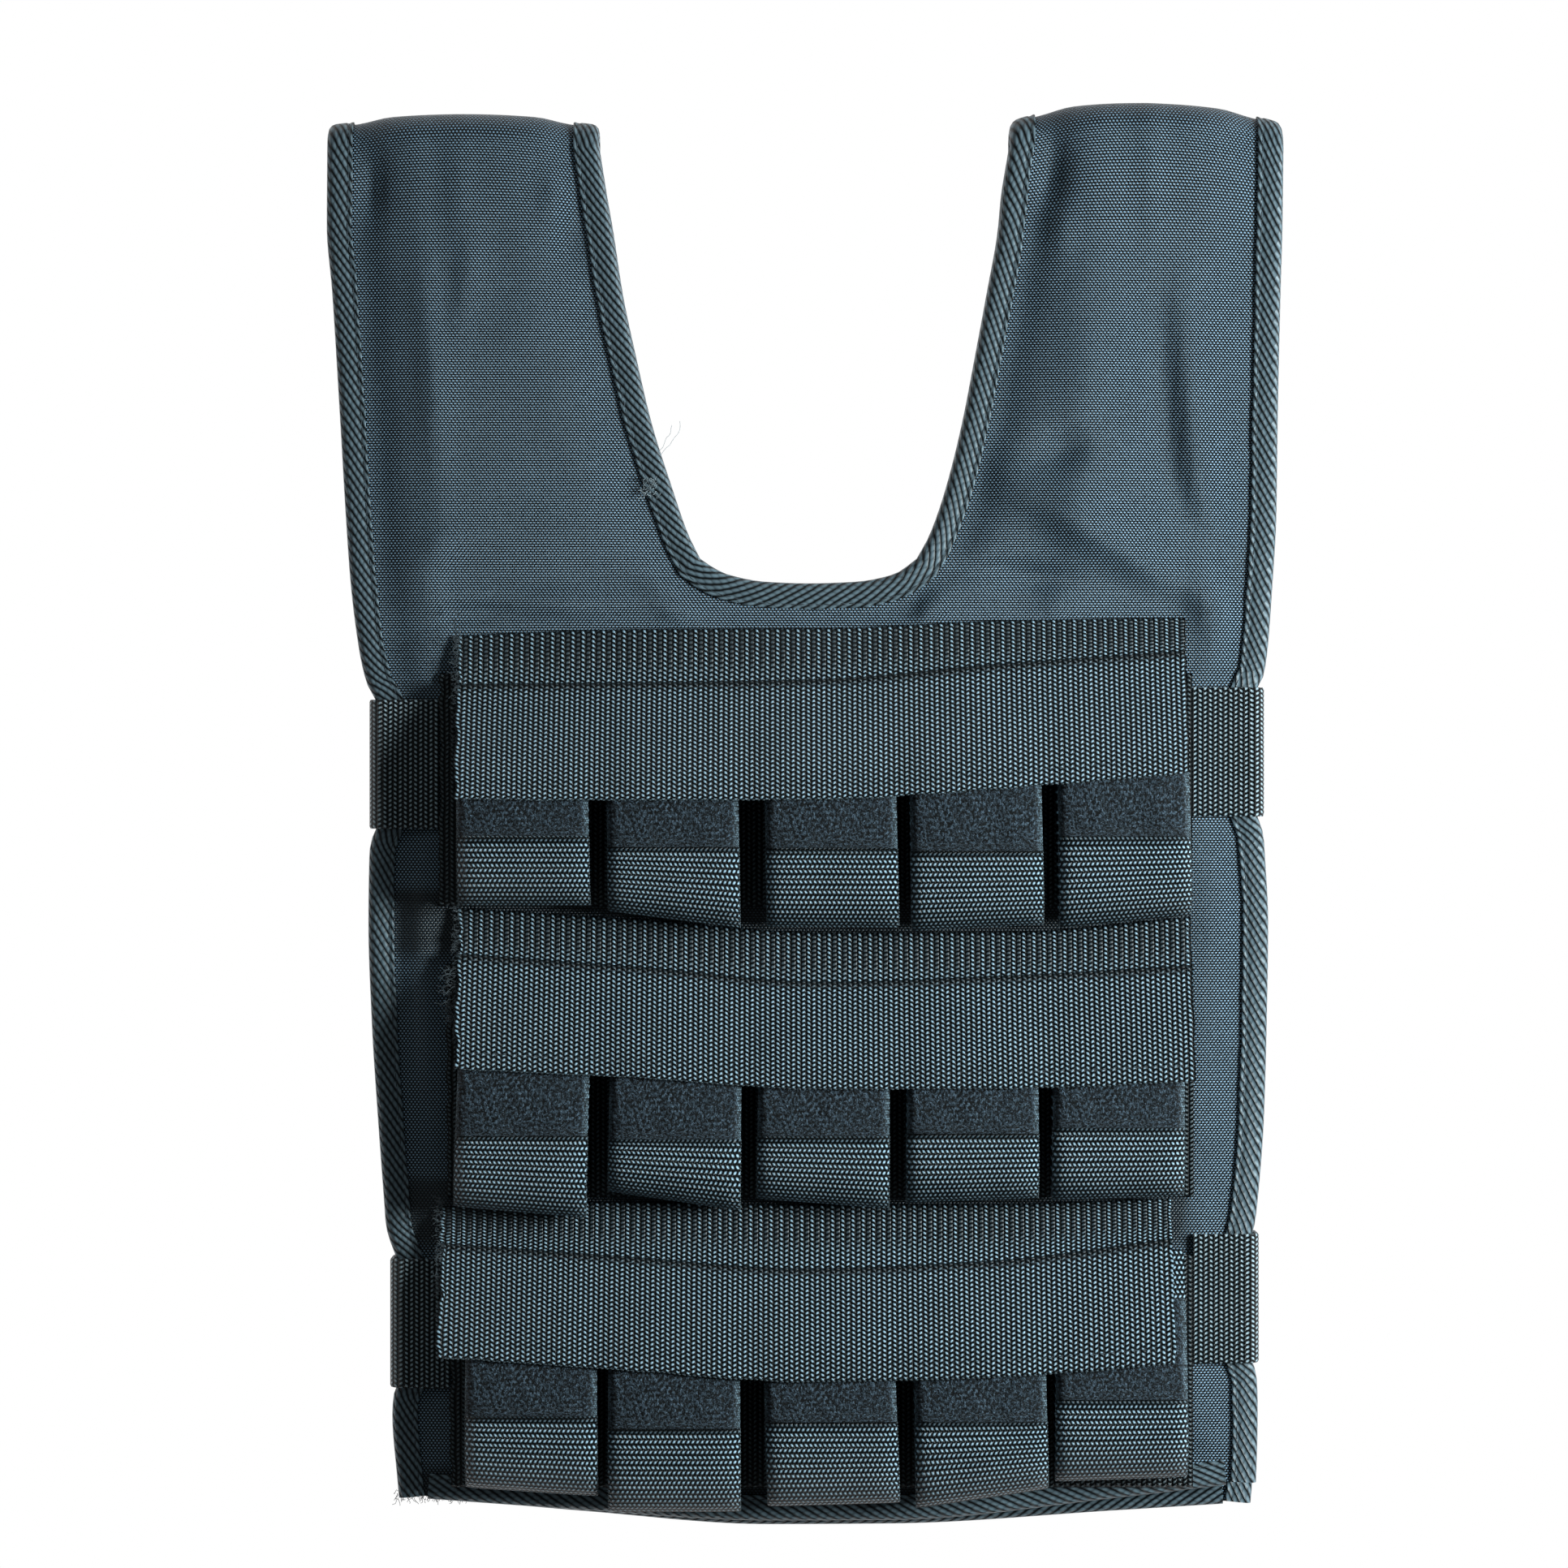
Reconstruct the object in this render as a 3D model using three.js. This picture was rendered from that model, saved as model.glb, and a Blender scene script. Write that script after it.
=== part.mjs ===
// A weighted training vest in millimetres, lying flat and folded over at the shoulders, with its front up.
// X runs across it, Y from the hem up to the shoulders, and Z up from the surface that it lies on.
import * as THREE from "three";

// Padded shell
const SHOULDER_WIDTH = 371.4; // across both shoulder straps, outside their binding
const BODY_LENGTH = 531.4; // from the shoulder fold's centre down to the front hem's lowest point
const NECK_WIDTH = 159.4; // of the neck hole at the shoulders
const NECK_DEPTH = 168.8; // from the shoulder fold's centre down to the neck hole's lowest point
const NECK_CORNER = 8.8; // how far the neck hole's base dips below its two corners
const PAD_THICKNESS = 6;
const EDGE_THICKNESS = 3; // where the binding clamps the shell
const PAD_RAMP = 14; // width over which the pad comes up to its full thickness
const FOLD_RADIUS = 7; // of the middle of the shell, over the shoulders
const FOLD_STEPS = 3;
const LEFT_CROWN = 5; // how far a shoulder's padded middle stands out beyond its bound edges
const RIGHT_CROWN = 8.8;
const CROWN_FADE = 26; // length over which the crown dies away below the fold
const GAP = 0.3; // clearance between neighbouring pieces

// Binding tape, folded round the shell's edge
const TAPE_WIDTH = 10;
const TAPE_THICKNESS = 1;

// Webbing
const WEBBING_WIDTH = 50;
const WEBBING_THICKNESS = 1.8;
const STRAP_BEND = 5; // radius of the middle of a side strap, where it turns round the vest's edge
const STRAP_UNDER = 45; // how far a side strap runs in under the back panel
const STRAP_ROOM = 2.4; // clearance that a side strap's bend needs round the bound edge
const STRAP_REST = 12; // how far beyond a side strap the back panel stays lifted
const STRAP_EASE = 15; // width over which the back panel sinks back to the surface from there

// Rows of pouches, with the flap that closes each row
const ROW_CENTRE = 6.6; // the rows sit this far right of the shoulders' middle
const ROW_WIDTH = 282;
const ROW_LAP = 4.5; // how far a row reaches down over the next one
const FIRST_ROW = 182.2; // from the shoulder fold's centre down to the first row
const POUCH_WIDTH = 50.6;
const POUCH_PITCH = 57.6;
const POUCH_DROP = 117; // from a row's flap line down to a pouch's foot
const POUCH_DEPTH = 22; // of a filled pouch at its fullest
const POUCH_COVER = 2; // from the band's upper edge down to a pouch's hidden top
const PATCH_COVER = 20; // from the band's upper edge down to a loop patch's hidden top
const PATCH_THICKNESS = 1.5;
const FLAP_DROP = 70; // from a row's flap line down to the band's lower edge
const BAND_LAP = 9; // how far the band lies over the hinge strip
const BACKING_TOP = 21.6; // from a row's flap line down to its backing

const ROW_PITCH = POUCH_DROP - ROW_LAP;
const FOLD_CENTRE_Z = PAD_THICKNESS / 2 + FOLD_RADIUS;
const PANEL_TOP = FOLD_CENTRE_Z + FOLD_RADIUS + PAD_THICKNESS / 2;
const EDGE_INSET = TAPE_THICKNESS + GAP; // from the outside of the binding in to the shell's own edge
const BOUND_WIDTH = TAPE_WIDTH + 2 * GAP; // strip of shell that the binding covers
const WEBBING_LAYER = WEBBING_THICKNESS + GAP;

// Outline of the panels. down: share of BODY_LENGTH. left, right: shares of half of SHOULDER_WIDTH.
const OUTLINE = [
  { down: 0, left: 0.999, right: 1 },
  { down: 0.057, left: 1, right: 0.998 },
  { down: 0.104, left: 0.989, right: 0.994 },
  { down: 0.199, left: 0.972, right: 0.988 },
  { down: 0.27, left: 0.96, right: 0.985 },
  { down: 0.318, left: 0.95, right: 0.977 },
  { down: 0.365, left: 0.933, right: 0.967 },
  { down: 0.385, left: 0.921, right: 0.958 },
  { down: 0.398, left: 0.888, right: 0.937 },
  { down: 0.492, left: 0.888, right: 0.937 },
  { down: 0.515, left: 0.911, right: 0.961 },
  { down: 0.566, left: 0.913, right: 0.968 },
  { down: 0.638, left: 0.906, right: 0.965 },
  { down: 0.709, left: 0.893, right: 0.959 },
  { down: 0.775, left: 0.879, right: 0.946 },
  { down: 0.793, left: 0.845, right: 0.926 },
  { down: 0.904, left: 0.845, right: 0.926 },
  { down: 0.925, left: 0.863, right: 0.946 },
  { down: 0.97, left: 0.853, right: 0.943 },
  { down: 1, left: 0.845, right: 0.936 },
];

// Sides of the neck hole. down: share of the depth of its corners. left, right: shares of half of NECK_WIDTH.
const NECK_SIDES = [
  { down: 0, left: 1.004, right: 0.996 },
  { down: 0.11, left: 0.969, right: 0.96 },
  { down: 0.19, left: 0.941, right: 0.945 },
  { down: 0.346, left: 0.893, right: 0.89 },
  { down: 0.504, left: 0.826, right: 0.831 },
  { down: 0.661, left: 0.752, right: 0.77 },
  { down: 0.819, left: 0.652, right: 0.691 },
  { down: 0.937, left: 0.57, right: 0.609 },
  { down: 1, left: 0.508, right: 0.54 },
];

// Base of the neck hole. across: share of the way between its corners. dip: share of NECK_CORNER.
const NECK_BASE = [
  { across: 0, dip: 0 },
  { across: 0.12, dip: 0.6 },
  { across: 0.3, dip: 0.93 },
  { across: 0.5, dip: 1 },
  { across: 0.72, dip: 0.93 },
  { across: 0.9, dip: 0.6 },
  { across: 1, dip: 0 },
];

// Hems. across: share of the hem's width. front, back: height above the front hem's lowest point, as shares
// of BODY_LENGTH.
const HEMS = [
  { across: 0, front: 0.0154, back: 0.0154 },
  { across: 0.216, front: 0.0083, back: 0.0047 },
  { across: 0.431, front: 0, back: -0.0053 },
  { across: 0.577, front: 0.0006, back: -0.0047 },
  { across: 0.843, front: 0.016, back: 0.0066 },
  { across: 1, front: 0.0267, back: 0.0118 },
];

// Rows of the panels' grids between the neck's corners and the hem, as shares of BODY_LENGTH.
const BODY_ROWS = [0.35, 0.382, 0.396, 0.494, 0.512, 0.575, 0.675, 0.772, 0.792, 0.905, 0.925];
// Rows of the shoulder straps' grids, as shares of the depth of the neck's corners.
const STRAP_ROWS = [0.04, 0.11, 0.25, 0.42, 0.6, 0.8, 1];

// Soft ridges in the front panel. x: share of half of SHOULDER_WIDTH. down, reach: shares of BODY_LENGTH.
// spread: share of half of SHOULDER_WIDTH. lean: sideways run over the length. rise: share of PAD_THICKNESS.
const RIDGES = [
  { x: -0.68, down: 0.19, reach: 0.13, spread: 0.1, lean: 0.05, rise: 0.3 },
  { x: -0.4, down: 0.25, reach: 0.08, spread: 0.09, lean: -0.35, rise: 0.25 },
  { x: 0.82, down: 0.17, reach: 0.12, spread: 0.09, lean: -0.05, rise: 0.3 },
  { x: 0.56, down: 0.24, reach: 0.08, spread: 0.12, lean: 0.4, rise: 0.35 },
];

// Side straps. side: -1 left, 1 right. row: the row that it comes from, counted from 0. down: its middle,
// as a share of BODY_LENGTH.
const SIDE_STRAPS = [
  { name: "side_strap_upper_left", side: -1, row: 0, down: 0.4498 },
  { name: "side_strap_upper_right", side: 1, row: 0, down: 0.4409 },
  { name: "side_strap_lower_left", side: -1, row: 2, down: 0.8574 },
  { name: "side_strap_lower_right", side: 1, row: 2, down: 0.8393 },
];

// Height of a filled row over its backing. down: share of POUCH_DROP. full: share of POUCH_DEPTH.
const FILL = [
  { down: 0, full: 0 },
  { down: 0.12, full: 0.05 },
  { down: 0.2, full: 0.17 },
  { down: 0.32, full: 0.46 },
  { down: 0.45, full: 0.74 },
  { down: 0.6, full: 0.93 },
  { down: 0.78, full: 1 },
];

// A pouch from its top to its foot. span: the stretch down to the patch, along it, or below it.
// share: of that stretch. front: share of the row's height there. under: lift of the underside, as a share
// of POUCH_DEPTH.
const POUCH_LENGTHWISE = [
  { span: "top", share: 0, front: 0.72, under: 0 },
  { span: "patch", share: 0, front: 0.95, under: 0 },
  { span: "patch", share: 0.5, front: 1, under: 0 },
  { span: "patch", share: 1, front: 1, under: 0 },
  { span: "foot", share: 0.5, front: 1, under: 0 },
  { span: "foot", share: 0.8, front: 0.96, under: 0.06 },
  { span: "foot", share: 0.94, front: 0.85, under: 0.17 },
  { span: "foot", share: 1, front: 0.64, under: 0.34 },
];
const PATCH_START = POUCH_LENGTHWISE.findIndex((stop) => stop.span === "patch");
const PATCH_STEPS = POUCH_LENGTHWISE.filter((stop) => stop.span === "patch").length - 1;

// A pouch from side to side. across: share of its width. front: share of the row's height.
const POUCH_CROSSWISE = [
  { across: 0, front: 0.88 },
  { across: 0.07, front: 0.97 },
  { across: 0.32, front: 1 },
  { across: 0.68, front: 1 },
  { across: 0.93, front: 0.97 },
  { across: 1, front: 0.88 },
];

// Rows. flapLeft to backRight: sideways ends, as shares of half of ROW_WIDTH from the rows' centre.
// The flap's lines hold, from left to right, the drop below the row's line as shares of FLAP_DROP.
const ROWS = [
  {
    flapLeft: -1.001,
    flapRight: 0.996,
    backLeft: -1.051,
    backRight: 1.016,
    lines: [
      { across: 0, top: 0.099, seam: 0.369, edge: 1.004 },
      { across: 0.25, top: 0.064, seam: 0.361, edge: 1.009 },
      { across: 0.5, top: 0.06, seam: 0.343, edge: 1.004 },
      { across: 0.75, top: 0.017, seam: 0.257, edge: 0.943 },
      { across: 1, top: 0, seam: 0.187, edge: 0.86 },
    ],
  },
  {
    flapLeft: -1,
    flapRight: 1.013,
    backLeft: -1.03,
    backRight: 1.02,
    lines: [
      { across: 0, top: 0, seam: 0.249, edge: 0.871 },
      { across: 0.25, top: 0.064, seam: 0.323, edge: 0.921 },
      { across: 0.5, top: 0.136, seam: 0.404, edge: 0.983 },
      { across: 0.75, top: 0.133, seam: 0.371, edge: 0.979 },
      { across: 1, top: 0.049, seam: 0.314, edge: 0.941 },
    ],
  },
  {
    flapLeft: -1.047,
    flapRight: 0.957,
    backLeft: -1.02,
    backRight: 1.018,
    lines: [
      { across: 0, top: 0.049, seam: 0.24, edge: 0.844 },
      { across: 0.25, top: 0.02, seam: 0.311, edge: 0.909 },
      { across: 0.5, top: 0.034, seam: 0.376, edge: 0.973 },
      { across: 0.75, top: 0.031, seam: 0.336, edge: 0.95 },
      { across: 1, top: 0, seam: 0.216, edge: 0.88 },
    ],
  },
];

// Pouches of each row from left to right. top, foot: sideways shift there, as shares of POUCH_PITCH.
// left, right: drop of the foot's left and right corners, and patch: drop of the patch's lower edge,
// all as shares of POUCH_DROP.
const POUCHES = [
  [
    { top: -0.012, foot: 0.01, left: 0.952, right: 0.952, patch: 0.721 },
    { top: -0.01, foot: 0.011, left: 0.97, right: 1.026, patch: 0.758 },
    { top: 0.037, foot: 0.07, left: 1.021, right: 1.024, patch: 0.761 },
    { top: 0.004, foot: 0.036, left: 1.034, right: 1.013, patch: 0.77 },
    { top: -0.013, foot: 0.022, left: 1.024, right: 0.984, patch: 0.723 },
  ],
  [
    { top: 0.029, foot: -0.02, left: 0.979, right: 1.016, patch: 0.743 },
    { top: 0.028, foot: 0.011, left: 0.929, right: 0.992, patch: 0.753 },
    { top: 0.013, foot: 0.002, left: 0.953, right: 0.985, patch: 0.743 },
    { top: 0, foot: 0, left: 0.968, right: 0.953, patch: 0.735 },
    { top: -0.024, foot: -0.03, left: 0.958, right: 0.947, patch: 0.716 },
  ],
  [
    { top: 0.056, foot: 0.059, left: 0.94, right: 0.969, patch: 0.698 },
    { top: 0.009, foot: 0.013, left: 1.02, right: 1.02, patch: 0.738 },
    { top: 0.024, foot: 0.076, left: 1.003, right: 0.991, patch: 0.717 },
    { top: 0.034, foot: 0.066, left: 1.009, right: 0.945, patch: 0.717 },
    { top: -0.013, foot: -0.005, left: 0.921, right: 0.905, patch: 0.645 },
  ],
];

const STRAP_CELLS = 6; // across one shoulder strap
const NECK_CELLS = NECK_BASE.length - 1;
const PANEL_CELLS = 2 * STRAP_CELLS + NECK_CELLS;
const FLAP_CELLS = 10;
const BEND_STEPS = 3; // over a quarter turn of a side strap
const EDGE_STEPS = 8; // over a side strap's width, to find how far out the vest's edge comes there

const mix = (a, b, share) => a + (b - a) * share;
const clamp = (value) => Math.min(1, Math.max(0, value));
const smooth = (value) => clamp(value) ** 2 * (3 - 2 * clamp(value));

// Reads one column of a table at a value of another, on a curve through the rows that never overshoots them.
function read(table, key, at, column) {
  const last = table.length - 2;
  const found = table.findIndex((row, i) => i > 0 && at <= row[key]);
  const i = found < 0 ? last : found - 1;
  const slope = (k) => {
    const a = table[Math.min(last, Math.max(0, k))];
    const b = table[Math.min(last, Math.max(0, k)) + 1];
    return (b[column] - a[column]) / (b[key] - a[key]);
  };
  const between = (a, b) => (a * b > 0 ? (2 * a * b) / (a + b) : 0);
  const width = table[i + 1][key] - table[i][key];
  const t = clamp((at - table[i][key]) / width);
  const start = i === 0 ? slope(i) : between(slope(i - 1), slope(i));
  const end = i === last ? slope(i) : between(slope(i), slope(i + 1));
  return (
    table[i][column] * (1 + 2 * t) * (1 - t) ** 2 +
    table[i + 1][column] * (3 - 2 * t) * t ** 2 +
    width * (start * t * (1 - t) ** 2 - end * (1 - t) * t ** 2)
  );
}

// Closes a grid of cells into one solid: an outer face, an inner face, and a wall along every free edge.
function slab({ across, down, outer, inner, filled = () => true, loop = false }) {
  const points = [];
  const known = new Map();
  const vertex = (face, i, j) => {
    const row = loop ? j % down : j;
    const key = [face === outer, i, row].join();
    if (!known.has(key)) {
      known.set(key, points.length);
      points.push(face(i, row));
    }
    return known.get(key);
  };
  const triangles = [];
  const quad = (a, b, c, d) => triangles.push(a, b, c, a, c, d);
  const isFree = (i, j) => {
    if (i < 0 || i >= across) return true;
    if (loop) return false;
    return j < 0 || j >= down || !filled(i, j);
  };
  for (let j = 0; j < down; j++) {
    for (let i = 0; i < across; i++) {
      if (!filled(i, j)) continue;
      const corners = [[i, j], [i, j + 1], [i + 1, j + 1], [i + 1, j]];
      const o = corners.map(([a, b]) => vertex(outer, a, b));
      const n = corners.map(([a, b]) => vertex(inner, a, b));
      quad(o[0], o[1], o[2], o[3]);
      quad(n[0], n[3], n[2], n[1]);
      [[i - 1, j], [i, j + 1], [i + 1, j], [i, j - 1]].forEach(([a, b], k) => {
        const next = (k + 1) % 4;
        if (isFree(a, b)) quad(o[next], o[k], n[k], n[next]);
      });
    }
  }
  if (volume(points, triangles) < 0) triangles.reverse();
  const geometry = new THREE.BufferGeometry().setFromPoints(points).setIndex(triangles);
  geometry.computeVertexNormals();
  return geometry;
}

function volume(points, triangles) {
  let sum = 0;
  for (let k = 0; k < triangles.length; k += 3) {
    const [a, b, c] = [0, 1, 2].map((n) => points[triangles[k + n]]);
    sum += a.dot(b.clone().cross(c)) / 6;
  }
  return sum;
}

// Shell. A point of it has x, a distance down from the shoulder fold's centre, and a turn round the fold.
const neckCornerDown = () => NECK_DEPTH - NECK_CORNER;
const edgeX = (side, down) =>
  side * read(OUTLINE, "down", down / BODY_LENGTH, side < 0 ? "left" : "right") * (SHOULDER_WIDTH / 2);
const neckX = (side, down) =>
  side * read(NECK_SIDES, "down", down / neckCornerDown(), side < 0 ? "left" : "right") * (NECK_WIDTH / 2);

function hemDown(x, face) {
  const left = edgeX(-1, BODY_LENGTH);
  const right = edgeX(1, BODY_LENGTH);
  return BODY_LENGTH * (1 - read(HEMS, "across", clamp((x - left) / (right - left)), face));
}

function neckBaseDown(x) {
  const left = neckX(-1, neckCornerDown());
  const right = neckX(1, neckCornerDown());
  return neckCornerDown() + NECK_CORNER * read(NECK_BASE, "across", (x - left) / (right - left), "dip");
}

function crown(x, down) {
  const side = Math.sign(x);
  const share = (x - neckX(side, 0)) / (edgeX(side, 0) - neckX(side, 0));
  const height = side < 0 ? LEFT_CROWN : RIGHT_CROWN;
  return height * Math.sin(Math.PI * clamp(share)) ** 2 * Math.exp(-((down / CROWN_FADE) ** 2));
}

// How far the back panel rises, where a side strap lies between it and the surface below.
function strapLift(x, down) {
  const shares = SIDE_STRAPS.filter((strap) => strap.side * x > 0).map((strap) => {
    const off = Math.abs(down - strap.down * BODY_LENGTH) - WEBBING_WIDTH / 2 - STRAP_REST;
    const inward = Math.abs(edgeX(strap.side, down) - x) - STRAP_UNDER - STRAP_EASE;
    return smooth(1 - Math.max(0, off) / STRAP_EASE) * smooth(1 - Math.max(0, inward) / STRAP_EASE);
  });
  return WEBBING_LAYER * Math.max(0, ...shares);
}

function shellPoint({ x, down, turn, face, height }) {
  const reach = FOLD_RADIUS + height;
  const y = Math.cos(turn) * reach - down + crown(x, down);
  const z = Math.sin(turn) * reach;
  if (face === "front") return new THREE.Vector3(x, y, FOLD_CENTRE_Z + z);
  return new THREE.Vector3(x, y, FOLD_CENTRE_Z - z + strapLift(x, down));
}

function ridge(x, down) {
  return RIDGES.reduce((sum, row) => {
    const along = (down / BODY_LENGTH - row.down) / row.reach;
    const across = ((2 * x) / SHOULDER_WIDTH - row.x - row.lean * along * row.reach) / row.spread;
    return sum + row.rise * PAD_THICKNESS * Math.exp(-(along ** 2) - across ** 2);
  }, 0);
}

// Rows of a panel's grid, from the shoulder fold to the hem, with the turn of those in the fold.
function panelRows() {
  const start = GAP / 2 / FOLD_RADIUS;
  const fold = Array.from({ length: FOLD_STEPS + 1 }, (_, k) => ({
    zone: "strap",
    turn: mix(start, Math.PI / 2, k / FOLD_STEPS),
    down: 0,
  }));
  const strap = STRAP_ROWS.map((share) => ({
    zone: "strap",
    turn: Math.PI / 2,
    down: share * neckCornerDown(),
  }));
  const body = ["below neck", ...BODY_ROWS, "above hem", "hem"].map((place) => ({
    zone: "body",
    turn: Math.PI / 2,
    place,
  }));
  return [...fold, ...strap, ...body];
}

const ROW_LIST = panelRows();
const NECK_ROW = FOLD_STEPS + STRAP_ROWS.length; // the grid row that holds the neck's corners

// x of a column between a strap's two bound edges, or between the vest's two edges below the neck.
function strapColumnX(column, down) {
  const isRight = column >= STRAP_CELLS + NECK_CELLS;
  const k = isRight ? column - STRAP_CELLS - NECK_CELLS : column;
  const low = isRight ? neckX(1, down) : edgeX(-1, down);
  const high = isRight ? edgeX(1, down) : neckX(-1, down);
  if (k === 0) return low + EDGE_INSET;
  if (k === STRAP_CELLS) return high - EDGE_INSET;
  return mix(low + BOUND_WIDTH, high - BOUND_WIDTH, (k - 1) / (STRAP_CELLS - 2));
}

function topColumnX(column) {
  const k = column - STRAP_CELLS;
  if (k <= 0 || k >= NECK_CELLS) return strapColumnX(column, neckCornerDown());
  return mix(
    strapColumnX(STRAP_CELLS, neckCornerDown()),
    strapColumnX(STRAP_CELLS + NECK_CELLS, neckCornerDown()),
    NECK_BASE[k].across,
  );
}

function bodyColumnX(column, down) {
  const low = edgeX(-1, down);
  const high = edgeX(1, down);
  if (column === 0) return low + EDGE_INSET;
  if (column === PANEL_CELLS) return high - EDGE_INSET;
  const from = neckCornerDown();
  const topLow = topColumnX(1);
  const topHigh = topColumnX(PANEL_CELLS - 1);
  const topShare = (topColumnX(column) - topLow) / (topHigh - topLow);
  const evenShare = (column - 1) / (PANEL_CELLS - 2);
  const share = mix(topShare, evenShare, smooth((down - from) / (BODY_LENGTH / 3)));
  return mix(low + BOUND_WIDTH, high - BOUND_WIDTH, share);
}

// One vertex of a panel's grid, on the shell's own edge wherever the grid ends.
function panelNode(face, column, rowIndex) {
  const row = ROW_LIST[rowIndex];
  if (row.zone === "strap") {
    const inNeck = column > STRAP_CELLS && column < STRAP_CELLS + NECK_CELLS;
    if (!inNeck) return { ...row, x: strapColumnX(column, row.down) };
    const x = topColumnX(column);
    return { ...row, x, down: neckBaseDown(x) + EDGE_INSET };
  }
  const top = panelNode(face, column, NECK_ROW);
  if (row.place === "below neck") {
    const down = top.down + TAPE_WIDTH;
    return { ...row, x: bodyColumnX(column, down), down };
  }
  const hemX = bodyColumnX(column, BODY_LENGTH);
  const insets = { hem: EDGE_INSET, "above hem": BOUND_WIDTH };
  if (row.place in insets) {
    const down = hemDown(hemX, face) - insets[row.place];
    return { ...row, x: bodyColumnX(column, down), down };
  }
  const down = row.place * BODY_LENGTH;
  return { ...row, x: bodyColumnX(column, down), down };
}

// Thickness of the pad, by the distance from the nearest bound edge.
function padThickness(face, node) {
  const distances = [node.x - edgeX(-1, node.down), edgeX(1, node.down) - node.x];
  if (node.down <= neckCornerDown()) {
    distances.push(Math.abs(node.x - neckX(Math.sign(node.x), node.down)));
  } else {
    const dx = Math.max(0, neckX(-1, neckCornerDown()) - node.x, node.x - neckX(1, neckCornerDown()));
    distances.push(Math.hypot(dx, node.down - neckBaseDown(dx > 0 ? neckX(-1, neckCornerDown()) : node.x)));
  }
  distances.push(hemDown(node.x, face) - node.down);
  const inside = Math.max(0, Math.min(...distances) - BOUND_WIDTH - GAP);
  return mix(EDGE_THICKNESS, PAD_THICKNESS, smooth(inside / PAD_RAMP));
}

function panel(face) {
  const isNeck = (i, j) => j < NECK_ROW && i >= STRAP_CELLS && i < STRAP_CELLS + NECK_CELLS;
  const surface = (side) => (i, j) => {
    const node = panelNode(face, i, j);
    const half = padThickness(face, node) / 2;
    const padded = clamp((2 * half - EDGE_THICKNESS) / (PAD_THICKNESS - EDGE_THICKNESS));
    const soft = side > 0 && face === "front" ? padded * ridge(node.x, node.down) : 0;
    return shellPoint({ ...node, face, height: side * half + soft });
  };
  return slab({
    across: PANEL_CELLS,
    down: ROW_LIST.length - 1,
    outer: surface(1),
    inner: surface(-1),
    filled: (i, j) => !isNeck(i, j),
  });
}

// Tape folded round an edge. Each station is a shell node on the edge with the unit direction into the shell.
function binding(stations, loop = false) {
  const half = EDGE_THICKNESS / 2;
  const corner = (depth, height) => (k) => {
    const { node, face, inX, inDown } = stations[k];
    return shellPoint({
      x: node.x + inX * depth,
      down: node.down + inDown * depth,
      turn: node.turn,
      face,
      height,
    });
  };
  const far = TAPE_WIDTH - EDGE_INSET;
  const out = half + GAP + TAPE_THICKNESS;
  const near = half + GAP;
  const outer = [corner(far, out), corner(-EDGE_INSET, out), corner(-EDGE_INSET, -out), corner(far, -out)];
  const inner = [corner(far, near), corner(-GAP, near), corner(-GAP, -near), corner(far, -near)];
  return slab({
    across: 3,
    down: loop ? stations.length : stations.length - 1,
    outer: (i, j) => outer[i](j),
    inner: (i, j) => inner[i](j),
    loop,
  });
}

// Directions into the shell along a run of edge nodes, square to the line between each node's neighbours.
function stationsAlong(face, nodes, turnSide) {
  return nodes.map((node, k) => {
    const before = nodes[Math.max(0, k - 1)];
    const after = nodes[Math.min(nodes.length - 1, k + 1)];
    const dx = after.x - before.x;
    const dd = after.down - before.down;
    const long = Math.hypot(dx, dd);
    if (node.turn < Math.PI / 2 || long === 0) return { face, node, inX: turnSide, inDown: 0 };
    return { face, node, inX: (turnSide * dd) / long, inDown: (-turnSide * dx) / long };
  });
}

const edgeNodes = (face, column, from = 0, to = ROW_LIST.length - 1) =>
  Array.from({ length: to - from + 1 }, (_, k) => panelNode(face, column, from + k));

function sideBinding(side) {
  const column = side < 0 ? 0 : PANEL_CELLS;
  const half = (face) => {
    const nodes = edgeNodes(face, column);
    nodes.at(-1).down += EDGE_INSET;
    return stationsAlong(face, nodes, -side);
  };
  return binding([...half("front").reverse(), ...half("back").slice(1)]);
}

function neckBinding() {
  const half = (face) => {
    const left = edgeNodes(face, STRAP_CELLS, 0, NECK_ROW);
    const base = NECK_BASE.slice(1, -1).map((_, k) => panelNode(face, STRAP_CELLS + 1 + k, NECK_ROW));
    const right = edgeNodes(face, STRAP_CELLS + NECK_CELLS, 0, NECK_ROW).reverse();
    return stationsAlong(face, [...left, ...base, ...right], -1).map((station) =>
      station.node.turn < Math.PI / 2 ? { ...station, inX: Math.sign(station.node.x) } : station,
    );
  };
  return binding([...half("front"), ...half("back").slice(1, -1).reverse()], true);
}

function hemBinding(face) {
  const nodes = Array.from({ length: PANEL_CELLS - 1 }, (_, k) =>
    panelNode(face, k + 1, ROW_LIST.length - 1),
  );
  return binding(stationsAlong(face, nodes, 1));
}

// Rows of pouches
const rowX = (share) => ROW_CENTRE + (share * ROW_WIDTH) / 2;
const rowDown = (row) => FIRST_ROW + row * ROW_PITCH;

// Top of the row's backing, and height of the filled row over it, at a distance below the flap's top line.
const bed = (below) => PANEL_TOP + GAP + WEBBING_LAYER * smooth(below / (BACKING_TOP / 2));
const fill = (below) => POUCH_DEPTH * read(FILL, "down", below / POUCH_DROP, "full");

function lineDown(row, x, column) {
  const { flapLeft, flapRight, lines } = ROWS[row];
  const share = clamp((x - rowX(flapLeft)) / (rowX(flapRight) - rowX(flapLeft)));
  return rowDown(row) + FLAP_DROP * read(lines, "across", share, column);
}

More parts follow.
